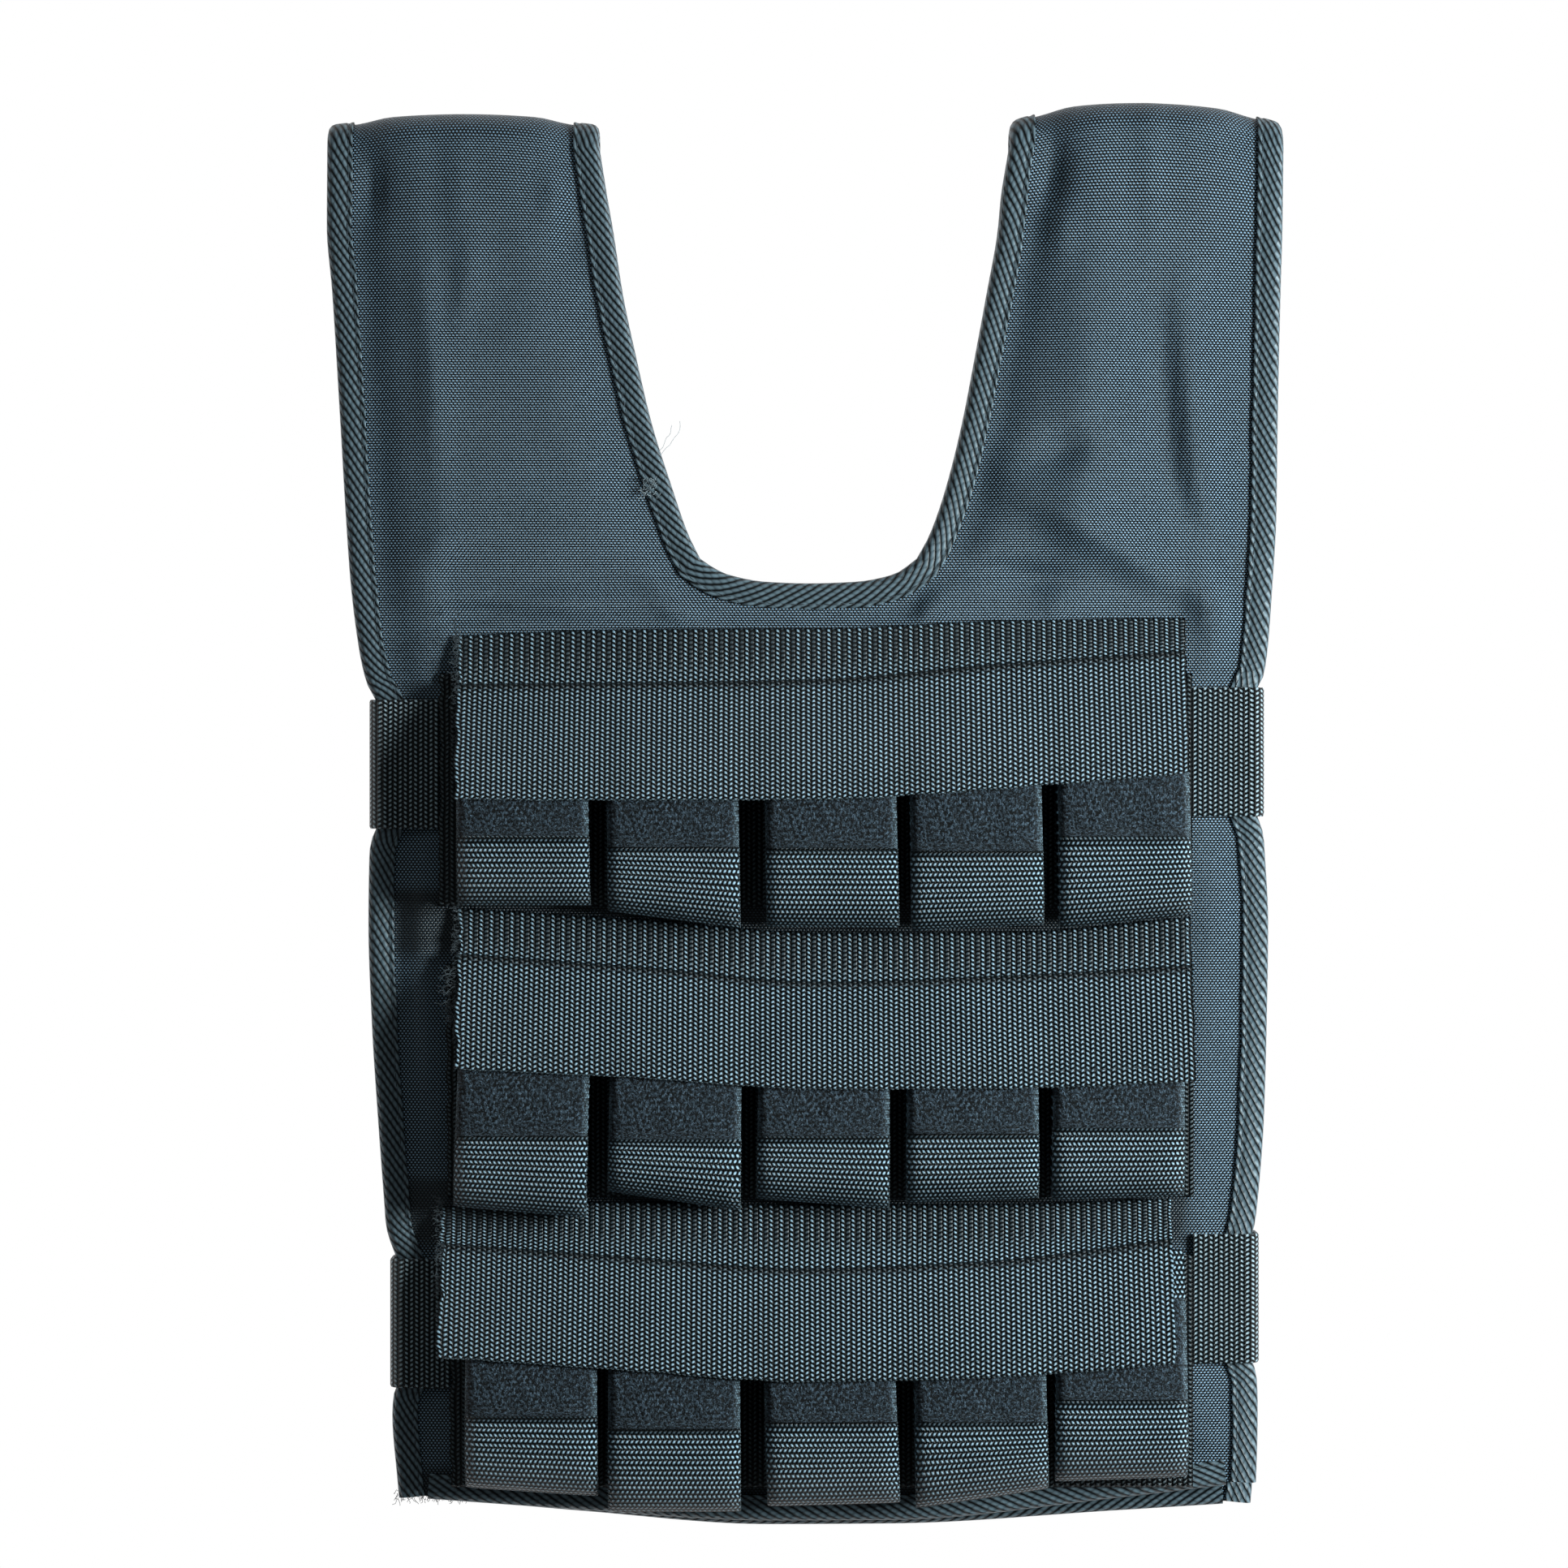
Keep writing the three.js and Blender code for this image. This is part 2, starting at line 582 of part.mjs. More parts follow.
function rowTopPoint(row, x, down, lift) {
  const below = Math.max(0, down - lineDown(row, x, "top"));
  return new THREE.Vector3(x, -down, bed(below) + fill(below) + lift);
}

// A strip of a flap, lying on the filled row at the given height over it. Each stop is a line of the flap, or
// a place between two lines, so that the two strips share their stops where they lap.
function flapStrip(row, stops, lift) {
  const { flapLeft, flapRight } = ROWS[row];
  const face = (height) => (i, j) => {
    const x = mix(rowX(flapLeft), rowX(flapRight), i / FLAP_CELLS);
    const { from, to = from, share = 0, lap = 0 } = stops[j];
    const start = lineDown(row, x, from) + lap * BAND_LAP;
    return rowTopPoint(row, x, mix(start, lineDown(row, x, to), share), height);
  };
  return slab({
    across: FLAP_CELLS,
    down: stops.length - 1,
    outer: face(lift + WEBBING_THICKNESS),
    inner: face(lift),
  });
}

const SEAM_STOPS = [{ from: "seam" }, { from: "seam", lap: 1 }];
const HINGE_STOPS = [{ from: "top" }, { from: "top", to: "seam", share: 0.5 }, ...SEAM_STOPS];
const BAND_STOPS = [...SEAM_STOPS, ...[0.5, 1].map((share) => ({ from: "seam", lap: 1, to: "edge", share }))];
const flapHinge = (row) => flapStrip(row, HINGE_STOPS, GAP);
const flapBand = (row) => flapStrip(row, BAND_STOPS, GAP + WEBBING_LAYER);

function backing(row) {
  const { backLeft, backRight } = ROWS[row];
  const top = rowDown(row) + BACKING_TOP;
  const foot = rowDown(row) + ROW_PITCH - 2 * GAP;
  const face = (height) => (i, j) =>
    new THREE.Vector3(rowX(i ? backRight : backLeft), -mix(top, foot, j), PANEL_TOP + GAP + height);
  return slab({ across: 1, down: 1, outer: face(WEBBING_THICKNESS), inner: face(0) });
}

const pouchCentre = (row, place) => ROW_CENTRE + (place - (POUCHES[row].length - 1) / 2) * POUCH_PITCH;

// Ends of a pouch's stretches, as distances down, at a share of the way from its left to its right.
function pouchSpans(row, place, across) {
  const { left, right, patch } = POUCHES[row][place];
  const seam = lineDown(row, pouchCentre(row, place), "seam");
  const edge = rowDown(row) + patch * POUCH_DROP;
  return {
    top: [seam + POUCH_COVER, seam + PATCH_COVER],
    patch: [seam + PATCH_COVER, edge],
    foot: [edge, rowDown(row) + POUCH_DROP * mix(left, right, across)],
  };
}

function pouchPlace(row, place, i, j) {
  const { across } = POUCH_CROSSWISE[i];
  const { span, share } = POUCH_LENGTHWISE[j];
  const spans = pouchSpans(row, place, across);
  const down = mix(...spans[span], share);
  const along = (down - spans.top[0]) / (spans.foot[1] - spans.top[0]);
  const { top, foot } = POUCHES[row][place];
  const x = pouchCentre(row, place) + mix(top, foot, along) * POUCH_PITCH + (across - 0.5) * POUCH_WIDTH;
  return { x, down };
}

function pouchFront(row, place, i, j, lift) {
  const { x, down } = pouchPlace(row, place, i, j);
  const below = down - lineDown(row, x, "top");
  const share = POUCH_CROSSWISE[i].front * POUCH_LENGTHWISE[j].front;
  return new THREE.Vector3(x, -down, bed(below) + fill(below) * share + lift);
}

function pouch(row, place) {
  return slab({
    across: POUCH_CROSSWISE.length - 1,
    down: POUCH_LENGTHWISE.length - 1,
    outer: (i, j) => pouchFront(row, place, i, j, 0),
    inner: (i, j) => {
      const { x, down } = pouchPlace(row, place, i, j);
      const under = POUCH_LENGTHWISE[j].under * POUCH_DEPTH;
      return new THREE.Vector3(x, -down, PANEL_TOP + GAP + WEBBING_LAYER + under);
    },
  });
}

// A loop patch lies on the middle stretch of its pouch's front.
function patch(row, place) {
  const face = (lift) => (i, j) => pouchFront(row, place, i, j + PATCH_START, lift);
  return slab({
    across: POUCH_CROSSWISE.length - 1,
    down: PATCH_STEPS,
    outer: face(GAP + PATCH_THICKNESS),
    inner: face(GAP),
  });
}

// A side strap from a row's backing, out over the front, round the edge and in under the back panel.
function sideStrap({ side, row, down }) {
  const middle = down * BODY_LENGTH;
  const ends = [-1, 1].map((end) => middle + (end * WEBBING_WIDTH) / 2);
  const samples = Array.from({ length: EDGE_STEPS + 1 }, (_, k) => mix(ends[0], ends[1], k / EDGE_STEPS));
  const edge = Math.max(...samples.map((at) => Math.abs(edgeX(side, at))));
  const half = WEBBING_THICKNESS / 2;
  const outX = edge + STRAP_ROOM + half;
  const topZ = PANEL_TOP + GAP + half;
  const lowZ = half;
  const start = Math.abs(rowX(side < 0 ? ROWS[row].backLeft : ROWS[row].backRight)) + GAP;
  const bend = (centreZ, from) =>
    Array.from({ length: BEND_STEPS + 1 }, (_, k) => {
      const angle = from - ((k / BEND_STEPS) * Math.PI) / 2;
      return {
        x: outX - STRAP_BEND + STRAP_BEND * Math.cos(angle),
        z: centreZ + STRAP_BEND * Math.sin(angle),
        nx: Math.cos(angle),
        nz: Math.sin(angle),
      };
    });
  const path = [
    { x: start, z: topZ, nx: 0, nz: 1 },
    ...bend(topZ - STRAP_BEND, Math.PI / 2),
    ...bend(lowZ + STRAP_BEND, 0),
    { x: outX - STRAP_UNDER, z: lowZ, nx: 0, nz: -1 },
  ];
  const face = (height) => (i, j) =>
    new THREE.Vector3(side * (path[j].x + path[j].nx * height), -ends[i], path[j].z + path[j].nz * height);
  return slab({ across: 1, down: path.length - 1, outer: face(half), inner: face(-half) });
}

// Finishes
const finish = (color, roughness) => new THREE.MeshStandardMaterial({ color, roughness, metalness: 0 });
const FINISHES = {
  cloth: finish(0x3f5462, 0.75),
  tape: finish(0x333f47, 0.7),
  webbing: finish(0x3e4b54, 0.65),
  loop: finish(0x26333c, 0.95),
};

const vest = new THREE.Group();
function add(name, material, geometry) {
  const mesh = new THREE.Mesh(geometry, FINISHES[material]);
  mesh.name = name;
  vest.add(mesh);
}

add("front_panel", "cloth", panel("front"));
add("back_panel", "cloth", panel("back"));
add("neck_binding", "tape", neckBinding());
add("side_binding_left", "tape", sideBinding(-1));
add("side_binding_right", "tape", sideBinding(1));
add("hem_binding_front", "tape", hemBinding("front"));
add("hem_binding_back", "tape", hemBinding("back"));
for (const strap of SIDE_STRAPS) add(strap.name, "webbing", sideStrap(strap));
ROWS.forEach((_, row) => {
  const name = `row_${row + 1}`;
  add(`${name}_backing`, "webbing", backing(row));
  add(`${name}_flap_hinge`, "webbing", flapHinge(row));
  add(`${name}_flap_band`, "webbing", flapBand(row));
  POUCHES[row].forEach((_, place) => {
    add(`${name}_pouch_${place + 1}`, "webbing", pouch(row, place));
    add(`${name}_patch_${place + 1}`, "loop", patch(row, place));
  });
});

// The origin is under the middle of the whole vest, on the surface that it lies on.
const box = new THREE.Box3().setFromObject(vest);
const centre = box.getCenter(new THREE.Vector3());
vest.position.set(-centre.x, -centre.y, -box.min.z);

export default vest;
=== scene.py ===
"""Looks of a weighted training vest that lies folded at the shoulders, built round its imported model."""

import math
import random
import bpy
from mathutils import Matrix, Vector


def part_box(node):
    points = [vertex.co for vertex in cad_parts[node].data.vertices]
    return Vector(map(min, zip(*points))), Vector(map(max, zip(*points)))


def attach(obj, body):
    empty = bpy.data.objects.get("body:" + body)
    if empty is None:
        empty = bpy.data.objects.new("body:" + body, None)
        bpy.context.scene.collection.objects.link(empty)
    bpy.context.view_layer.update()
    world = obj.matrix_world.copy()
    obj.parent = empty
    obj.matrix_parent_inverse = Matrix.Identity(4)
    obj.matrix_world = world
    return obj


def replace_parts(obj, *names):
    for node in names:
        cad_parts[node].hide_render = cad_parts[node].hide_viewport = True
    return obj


bl_info = {
    "name": "Weighted vest",
    "version": (1, 0, 0),
    "blender": (4, 5, 0),
    "location": "View3D > Sidebar > Vest",
    "description": "Builds the cloth, tapes, webbing, pouches and stitching of a weighted vest",
    "category": "Object",
}

import bmesh
import bpy
from bpy.props import FloatProperty, FloatVectorProperty, PointerProperty
from bpy.types import Operator, Panel, PropertyGroup
from mathutils import Matrix, Vector, noise

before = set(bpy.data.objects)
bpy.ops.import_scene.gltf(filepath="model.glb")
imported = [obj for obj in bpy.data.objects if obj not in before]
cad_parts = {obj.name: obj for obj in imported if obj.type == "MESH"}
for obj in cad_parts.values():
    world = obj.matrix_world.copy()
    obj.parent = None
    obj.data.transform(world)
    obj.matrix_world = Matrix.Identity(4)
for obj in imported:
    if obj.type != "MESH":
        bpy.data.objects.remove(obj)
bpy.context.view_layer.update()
MM = 0.001
QUARTER = math.pi / 2

# Padded shell, in millimetres
SHOULDER_WIDTH = 371.4
BODY_LENGTH = 531.4
NECK_WIDTH = 159.4
NECK_DEPTH = 168.8
NECK_CORNER = 8.8
PAD_THICKNESS = 6
EDGE_THICKNESS = 3
PAD_RAMP = 14
FOLD_RADIUS = 7
CROWN = {-1: 4.1, 1: 8.4}
CROWN_FULLNESS = {-1: 0.8, 1: 0.6}
CROWN_LEAN = {-1: 1, 1: 0.9}
CROWN_FADE = 26
GAP = 0.3
TAPE_WIDTH = 10
TAPE_THICKNESS = 1

# Webbing, and the rows of pouches with their flaps
WEBBING_WIDTH = 50
WEBBING_THICKNESS = 1.8
STRAP_BEND = 5
STRAP_UNDER = 45
STRAP_ROOM = 2.4
STRAP_REST = 12
STRAP_EASE = 15
STRAP_PINCH = 0.7
ROW_CENTRE = 6.6
ROW_WIDTH = 282
ROW_LAP = 4.5
FIRST_ROW = 182.2
POUCH_WIDTH = 50.6
POUCH_PITCH = 57.6
POUCH_DROP = 117
POUCH_DEPTH = 22
POUCH_COVER = 2
PATCH_COVER = 20
PATCH_THICKNESS = 1.5
FLAP_DROP = 70
BAND_LAP = 9
BACKING_TOP = 21.6

ROW_PITCH = POUCH_DROP - ROW_LAP
FOLD_Z = PAD_THICKNESS / 2 + FOLD_RADIUS
PANEL_TOP = FOLD_Z + FOLD_RADIUS + PAD_THICKNESS / 2
EDGE_INSET = TAPE_THICKNESS + GAP
BOUND_WIDTH = TAPE_WIDTH + 2 * GAP
WEBBING_LAYER = WEBBING_THICKNESS + GAP
NECK_CORNER_DOWN = NECK_DEPTH - NECK_CORNER
TAPE_OUT = EDGE_THICKNESS / 2 + GAP + TAPE_THICKNESS
FOLD_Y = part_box("side_binding_left")[1].y / MM - FOLD_RADIUS - TAPE_OUT

# Camera, straight above the vest as the photo has it
CAMERA_AIM = (-8.2, 11.4)
CAMERA_HEIGHT = 1980
CAMERA_LENS = 116.1


def mix(a, b, share):
    return a + (b - a) * share


def spread(low, high, count):
    """Values from low to high in so many even steps."""
    return [mix(low, high, k / count) for k in range(count + 1)]


def clamp(value, low=0.0, high=1.0):
    return min(high, max(low, value))


def smooth(value):
    return clamp(value) ** 2 * (3 - 2 * clamp(value))


def bell(value):
    return math.exp(-(value**2))


class Table:
    """Rows of named columns, read on a curve through the rows that never overshoots them."""

    def __init__(self, names, *rows):
        self.names = names.split()
        self.rows = rows
        self.known = {}

    def read(self, at, column):
        key = (round(at, 5), column)
        if key not in self.known:
            self.known[key] = self.curve(at, self.names.index(column))
        return self.known[key]

    def curve(self, at, column):
        rows = self.rows
        last = len(rows) - 2
        i = next((k - 1 for k in range(1, len(rows)) if at <= rows[k][0]), last)

        def slope(k):
            k = max(0, min(last, k))
            return (rows[k + 1][column] - rows[k][column]) / (rows[k + 1][0] - rows[k][0])

        def between(a, b):
            return 2 * a * b / (a + b) if a * b > 0 else 0

        width = rows[i + 1][0] - rows[i][0]
        t = clamp((at - rows[i][0]) / width)
        start = slope(i) if i == 0 else between(slope(i - 1), slope(i))
        end = slope(i) if i == last else between(slope(i), slope(i + 1))
        low, high = rows[i][column], rows[i + 1][column]
        bend = width * (start * t * (1 - t) ** 2 - end * (1 - t) * t**2)
        return low * (1 + 2 * t) * (1 - t) ** 2 + high * (3 - 2 * t) * t**2 + bend


# Outline of the panels, as shares of the body's length and of half of the shoulders' width
OUTLINE = Table(
    "down left right",
    (0, 0.999, 1),
    (0.057, 1, 0.998),
    (0.104, 0.989, 0.994),
    (0.199, 0.972, 0.988),
    (0.27, 0.96, 0.985),
    (0.318, 0.95, 0.977),
    (0.365, 0.933, 0.967),
    (0.385, 0.921, 0.958),
    (0.394, 0.912, 0.945),
    (0.403, 0.896, 0.937),
    (0.412, 0.888, 0.937),
    (0.478, 0.888, 0.937),
    (0.488, 0.889, 0.945),
    (0.497, 0.896, 0.955),
    (0.505, 0.906, 0.959),
    (0.515, 0.911, 0.961),
    (0.566, 0.913, 0.968),
    (0.638, 0.906, 0.965),
    (0.709, 0.893, 0.959),
    (0.775, 0.879, 0.944),
    (0.785, 0.877, 0.94),
    (0.793, 0.872, 0.934),
    (0.803, 0.862, 0.926),
    (0.811, 0.853, 0.926),
    (0.82, 0.845, 0.926),
    (0.876, 0.845, 0.926),
    (0.886, 0.845, 0.934),
    (0.895, 0.845, 0.943),
    (0.904, 0.853, 0.945),
    (0.912, 0.861, 0.946),
    (0.925, 0.863, 0.946),
    (0.97, 0.853, 0.943),
    (1, 0.845, 0.936),
)

# Sides of the neck hole, as shares of its corners' depth and of half of its width
NECK_SIDES = Table(
    "down left right",
    (0, 1.004, 0.996),
    (0.11, 0.969, 0.96),
    (0.19, 0.941, 0.945),
    (0.346, 0.893, 0.89),
    (0.504, 0.826, 0.831),
    (0.661, 0.752, 0.77),
    (0.819, 0.652, 0.691),
    (0.937, 0.57, 0.609),
    (1, 0.508, 0.54),
)

# Base of the neck hole, as shares of the way between its corners and of how far it dips
NECK_BASE = Table(
    "across dip",
    *((0, 0), (0.12, 0.6), (0.3, 0.93), (0.5, 1), (0.72, 0.93), (0.9, 0.6), (1, 0)),
)

# Hems, by how high they are over the lowest point, as shares of the body's length
HEMS = Table(
    "across front back",
    (0, 0.015, 0.013),
    (0.216, 0.0055, 0.0008),
    (0.431, -0.0022, -0.0088),
    (0.577, -0.0018, -0.0083),
    (0.843, 0.0146, 0.0014),
    (1, 0.0262, 0.0075),
)

# Side straps: the row that each comes from, and its middle as a share of the body's length
SIDE_STRAPS = {
    "side_strap_upper_left": (-1, 0, 0.4498),
    "side_strap_upper_right": (1, 0, 0.4409),
    "side_strap_lower_left": (-1, 2, 0.8574),
    "side_strap_lower_right": (1, 2, 0.8393),
}

# Height of a filled row, as shares of a pouch's drop and depth
FILL = Table(
    "down full",
    *((0, 0), (0.12, 0.05), (0.2, 0.17), (0.32, 0.46), (0.45, 0.74), (0.6, 0.93), (0.78, 1)),
)

# Sideways ends of each row's flap and backing, as shares of half of the row's width
FLAP_ENDS = ((-1.001, 0.996), (-1, 1.013), (-1.047, 0.957))
BACK_ENDS = ((-1.051, 1.016), (-1.03, 1.02), (-1.02, 1.018))

# Lines of each row's flap from left to right, as shares of its drop
FLAP_LINES = tuple(
    Table("across top seam edge", *rows)
    for rows in (
        (
            (0, 0.099, 0.369, 1.004),
            (0.25, 0.064, 0.361, 1.009),
            (0.5, 0.06, 0.343, 1.004),
            (0.75, 0.017, 0.257, 0.943),
            (1, 0, 0.187, 0.86),
        ),
        (
            (0, 0, 0.249, 0.871),
            (0.25, 0.064, 0.323, 0.921),
            (0.5, 0.136, 0.404, 0.983),
            (0.75, 0.133, 0.371, 0.979),
            (1, 0.049, 0.314, 0.941),
        ),
        (
            (0, 0.049, 0.24, 0.844),
            (0.25, 0.02, 0.311, 0.909),
            (0.5, 0.034, 0.376, 0.973),
            (0.75, 0.031, 0.336, 0.95),
            (1, 0, 0.216, 0.88),
        ),
    )
)

# Pouches of each row. top, foot: sideways shift as shares of the pitch. left, right, patch: drop of the
# foot's corners and of the patch's lower edge, as shares of the pouch's drop.
POUCH_NAMES = "top foot left right patch".split()
POUCHES = (
    (
        (-0.012, 0.01, 0.952, 0.952, 0.721),
        (-0.01, 0.011, 0.97, 1.026, 0.758),
        (0.037, 0.07, 1.021, 1.024, 0.761),
        (0.004, 0.036, 1.034, 1.013, 0.77),
        (-0.013, 0.022, 1.024, 0.984, 0.723),
    ),
    (
        (0.029, -0.02, 0.979, 1.016, 0.743),
        (0.028, 0.011, 0.929, 0.992, 0.753),
        (0.013, 0.002, 0.953, 0.985, 0.743),
        (0, 0, 0.968, 0.953, 0.735),
        (-0.024, -0.03, 0.958, 0.947, 0.716),
    ),
    (
        (0.056, 0.059, 0.94, 0.969, 0.698),
        (0.009, 0.013, 1.02, 1.02, 0.738),
        (0.024, 0.076, 1.003, 0.991, 0.717),
        (0.034, 0.066, 1.009, 0.945, 0.717),
        (-0.013, -0.005, 0.921, 0.905, 0.645),
    ),
)
PLACES = [(row, place) for row, pouches in enumerate(POUCHES) for place in range(len(pouches))]

# A pouch from its top to its foot: the stretch, the share of it, the front's share of the row's height and
# the lift of the underside as a share of the pouch's depth
POUCH_STOPS = (
    ("top", 0, 0.72, 0),
    ("patch", 0, 0.95, 0),
    ("patch", 0.5, 1, 0),
    ("patch", 1, 1, 0),
    ("foot", 0.1, 0.935, 0),
    ("foot", 0.36, 1.0, 0),
    ("foot", 0.56, 0.98, 0.02),
    ("foot", 0.76, 0.9, 0.06),
    ("foot", 0.92, 0.76, 0.17),
    ("foot", 1, 0.6, 0.34),
)
PATCH_FROM = 1
PATCH_TO = 3

# A pouch from side to side, as shares of its width and of the row's height
POUCH_SIDES = Table(
    "across front",
    *((0, 0.88), (0.07, 0.97), (0.32, 1), (0.68, 1), (0.93, 0.97), (1, 0.88)),
)

# Folds of the front cloth: place, direction in degrees, half length, half width and height, in millimetres
FOLDS = (
    (-144, 170, 94, 46, 5, 1.0),
    (-131, 205, 80, 26, 4, 0.7),
    (-134, 236, 90, 20, 5, 0.6),
    (121, 104, -31, 46, 8, 2.6),
    (134, 232, 92, 40, 5, 0.9),
    (150, 150, 97, 60, 7, 1.5),
    (140, 160, 94, 66, 8, -1.5),
    (156, 104, -62, 22, 6, -1.6),
    (100, 141, 20, 11, 7, -1.6),
    (86, 92, -8, 22, 4, -1.5),
    (49, 79, 68, 11, 3.5, 1.6),
    (110, 150, 86, 80, 13, 1.5),
    (97, 80, 80, 7, 4, 0.8),
    (-100, 82, -2, 44, 5, 1.4),
    (-128, 78, 12, 16, 4, -1.0),
    (-140, 104, 25, 14, 5, 0.6),
    (-52, 82, -48, 16, 5, 1.2),
    (10, 82, 0, 14, 4, 0.7),
    (-20, 84, 20, 12, 3, -0.5),
    (160, 60, 88, 34, 6, 0.9),
    (161, -30, 92, 60, 5, 0.8),
    (-150, -60, 90, 60, 6, 0.9),
    (-148, -230, 60, 22, 5, 1.0),
)

# Small puckers beside the binding near the shoulder folds: place and depth in millimetres
PUCKERS = (
    (-168, 240, -1.3),
    (-96, 236, 1.2),
    (-92, 222, -1.1),
    (96, 243, -1.8),
    (99, 226, 1.0),
    (172, 240, 1.0),
)
PUCKER_WIDE = 5
PUCKER_LONG = 11
FOLD_REACH = 3


def side_name(side):
    return "left" if side < 0 else "right"


def edge_x(side, down):
    return side * OUTLINE.read(down / BODY_LENGTH, side_name(side)) * SHOULDER_WIDTH / 2


def neck_x(side, down):
    return side * NECK_SIDES.read(down / NECK_CORNER_DOWN, side_name(side)) * NECK_WIDTH / 2


def hem_down(x, face):
    left, right = edge_x(-1, BODY_LENGTH), edge_x(1, BODY_LENGTH)
    return BODY_LENGTH * (1 - HEMS.read(clamp((x - left) / (right - left)), face))


def neck_base_down(x):
    left, right = neck_x(-1, NECK_CORNER_DOWN), neck_x(1, NECK_CORNER_DOWN)
    return NECK_CORNER_DOWN + NECK_CORNER * NECK_BASE.read((x - left) / (right - left), "dip")


def crown(x, down):
    """How far the shoulder fold arches up between its bound edges."""
    side = -1 if x < 0 else 1
    share = (x - neck_x(side, 0)) / (edge_x(side, 0) - neck_x(side, 0))
    arch = math.sin(math.pi * clamp(share) ** CROWN_LEAN[side]) ** CROWN_FULLNESS[side]
    return CROWN[side] * arch * bell(down / CROWN_FADE)


def strap_lift(x, down):
    """How far the back panel lifts over the side straps' ends beneath it."""
    most = 0
    for side, _, middle in SIDE_STRAPS.values():
        if side * x <= 0:
            continue
        off = abs(down - middle * BODY_LENGTH) - WEBBING_WIDTH / 2 - STRAP_REST
        inward = abs(edge_x(side, down) - x) - STRAP_UNDER - STRAP_EASE
        near = smooth(1 - max(0, off) / STRAP_EASE) * smooth(1 - max(0, inward) / STRAP_EASE)
        most = max(most, near)
    return WEBBING_LAYER * most


def shell_point(x, down, turn, face, height):
    """A point of the shell in millimetres, at a height from the middle of the cloth."""
    reach = FOLD_RADIUS + height
    y = FOLD_Y + math.cos(turn) * reach - down + crown(x, down)
    z = math.sin(turn) * reach
    if face == "front":
        return Vector((x, y, FOLD_Z + z))
    return Vector((x, y, FOLD_Z - z + strap_lift(x, down)))


def edge_distance(x, down, face):
    """Distance of a place on the shell from the nearest bound edge."""
    near = [x - edge_x(-1, down), edge_x(1, down) - x, hem_down(x, face) - down]
    if down <= NECK_CORNER_DOWN:
        near.append(abs(x - neck_x(-1 if x < 0 else 1, down)))
    else:
        left, right = neck_x(-1, NECK_CORNER_DOWN), neck_x(1, NECK_CORNER_DOWN)
        aside = max(0, left - x, x - right)
        base = neck_base_down(left if aside > 0 else x)
        near.append(math.hypot(aside, down - base))
    return min(near)


def folds(x, y):
    """Height of the folds and puckers of the front cloth."""
    total = 0
    for at_x, at_y, angle, long, wide, rise in FOLDS:
        dx, dy = x - at_x, y - at_y
        if abs(dx) + abs(dy) > FOLD_REACH * (long + wide):
            continue
        c, s = math.cos(math.radians(angle)), math.sin(math.radians(angle))
        total += rise * bell((dx * c + dy * s) / long) * bell((dy * c - dx * s) / wide)
    for at_x, at_y, rise in PUCKERS:
        total += rise * bell((x - at_x) / PUCKER_WIDE) * bell((y - at_y) / PUCKER_LONG)
    return total


def drift(x, y, size, seed=0.0):
    """Slow wandering between -1 and 1 over the given size in millimetres."""
    return noise.noise(Vector((x / size, y / size, seed)))


def row_x(share):
    return ROW_CENTRE + share * ROW_WIDTH / 2


def row_down(row):
    return FIRST_ROW + row * ROW_PITCH


def bed(below):
    """Height of what a row lies on, at a distance below its top."""
    return PANEL_TOP + GAP + WEBBING_LAYER * smooth(below / (BACKING_TOP / 2))


def fill(below):
    """Height of the filled row over its bed."""
    return POUCH_DEPTH * FILL.read(below / POUCH_DROP, "full")


def flap_span(row):
    return [row_x(share) for share in FLAP_ENDS[row]]


def line_down(row, x, column):
    left, right = flap_span(row)
    return row_down(row) + FLAP_DROP * FLAP_LINES[row].read(clamp((x - left) / (right - left)), column)


def row_top(row, x, down, lift):
    """A point on top of a filled row, or over it."""
    below = max(0, down - line_down(row, x, "top"))
    return Vector((x, FOLD_Y - down, bed(below) + fill(below) + lift))


def pouch_centre(place):
    return ROW_CENTRE + (place - (len(POUCHES[0]) - 1) / 2) * POUCH_PITCH


RIM = 0.9


def stops(length, step, lips=(0, 0.35, RIM)):
    """Places from 0 to a length in even steps, with a few close to both ends to round them off."""
    count = max(2, round((length - 2 * lips[-1]) / step))
    inner = spread(lips[-1], length - lips[-1], count)[1:-1]
    return [*lips, *inner, *(length - lip for lip in reversed(lips))]


def rim(at, length):
    """Share of the full thickness near either end of a length."""
    near = min(at, length - at)
    return mix(0.5, 1, math.sin(clamp(near / RIM) * QUARTER))


def add_object(name, data):
    item = bpy.data.objects.new(name, data)
    bpy.context.scene.collection.objects.link(item)
    return item


def finish_mesh(bm, name, material, smooth_angle=50):
    """Turns a bmesh into a piece that rides on the vest."""
    mesh = bpy.data.meshes.new(name)
    bm.to_mesh(mesh)
    bm.free()
    mesh.shade_smooth()
    mesh.set_sharp_from_angle(angle=math.radians(smooth_angle))
    mesh.materials.append(material)
    piece = add_object(name, mesh)
    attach(piece, "root")
    return piece


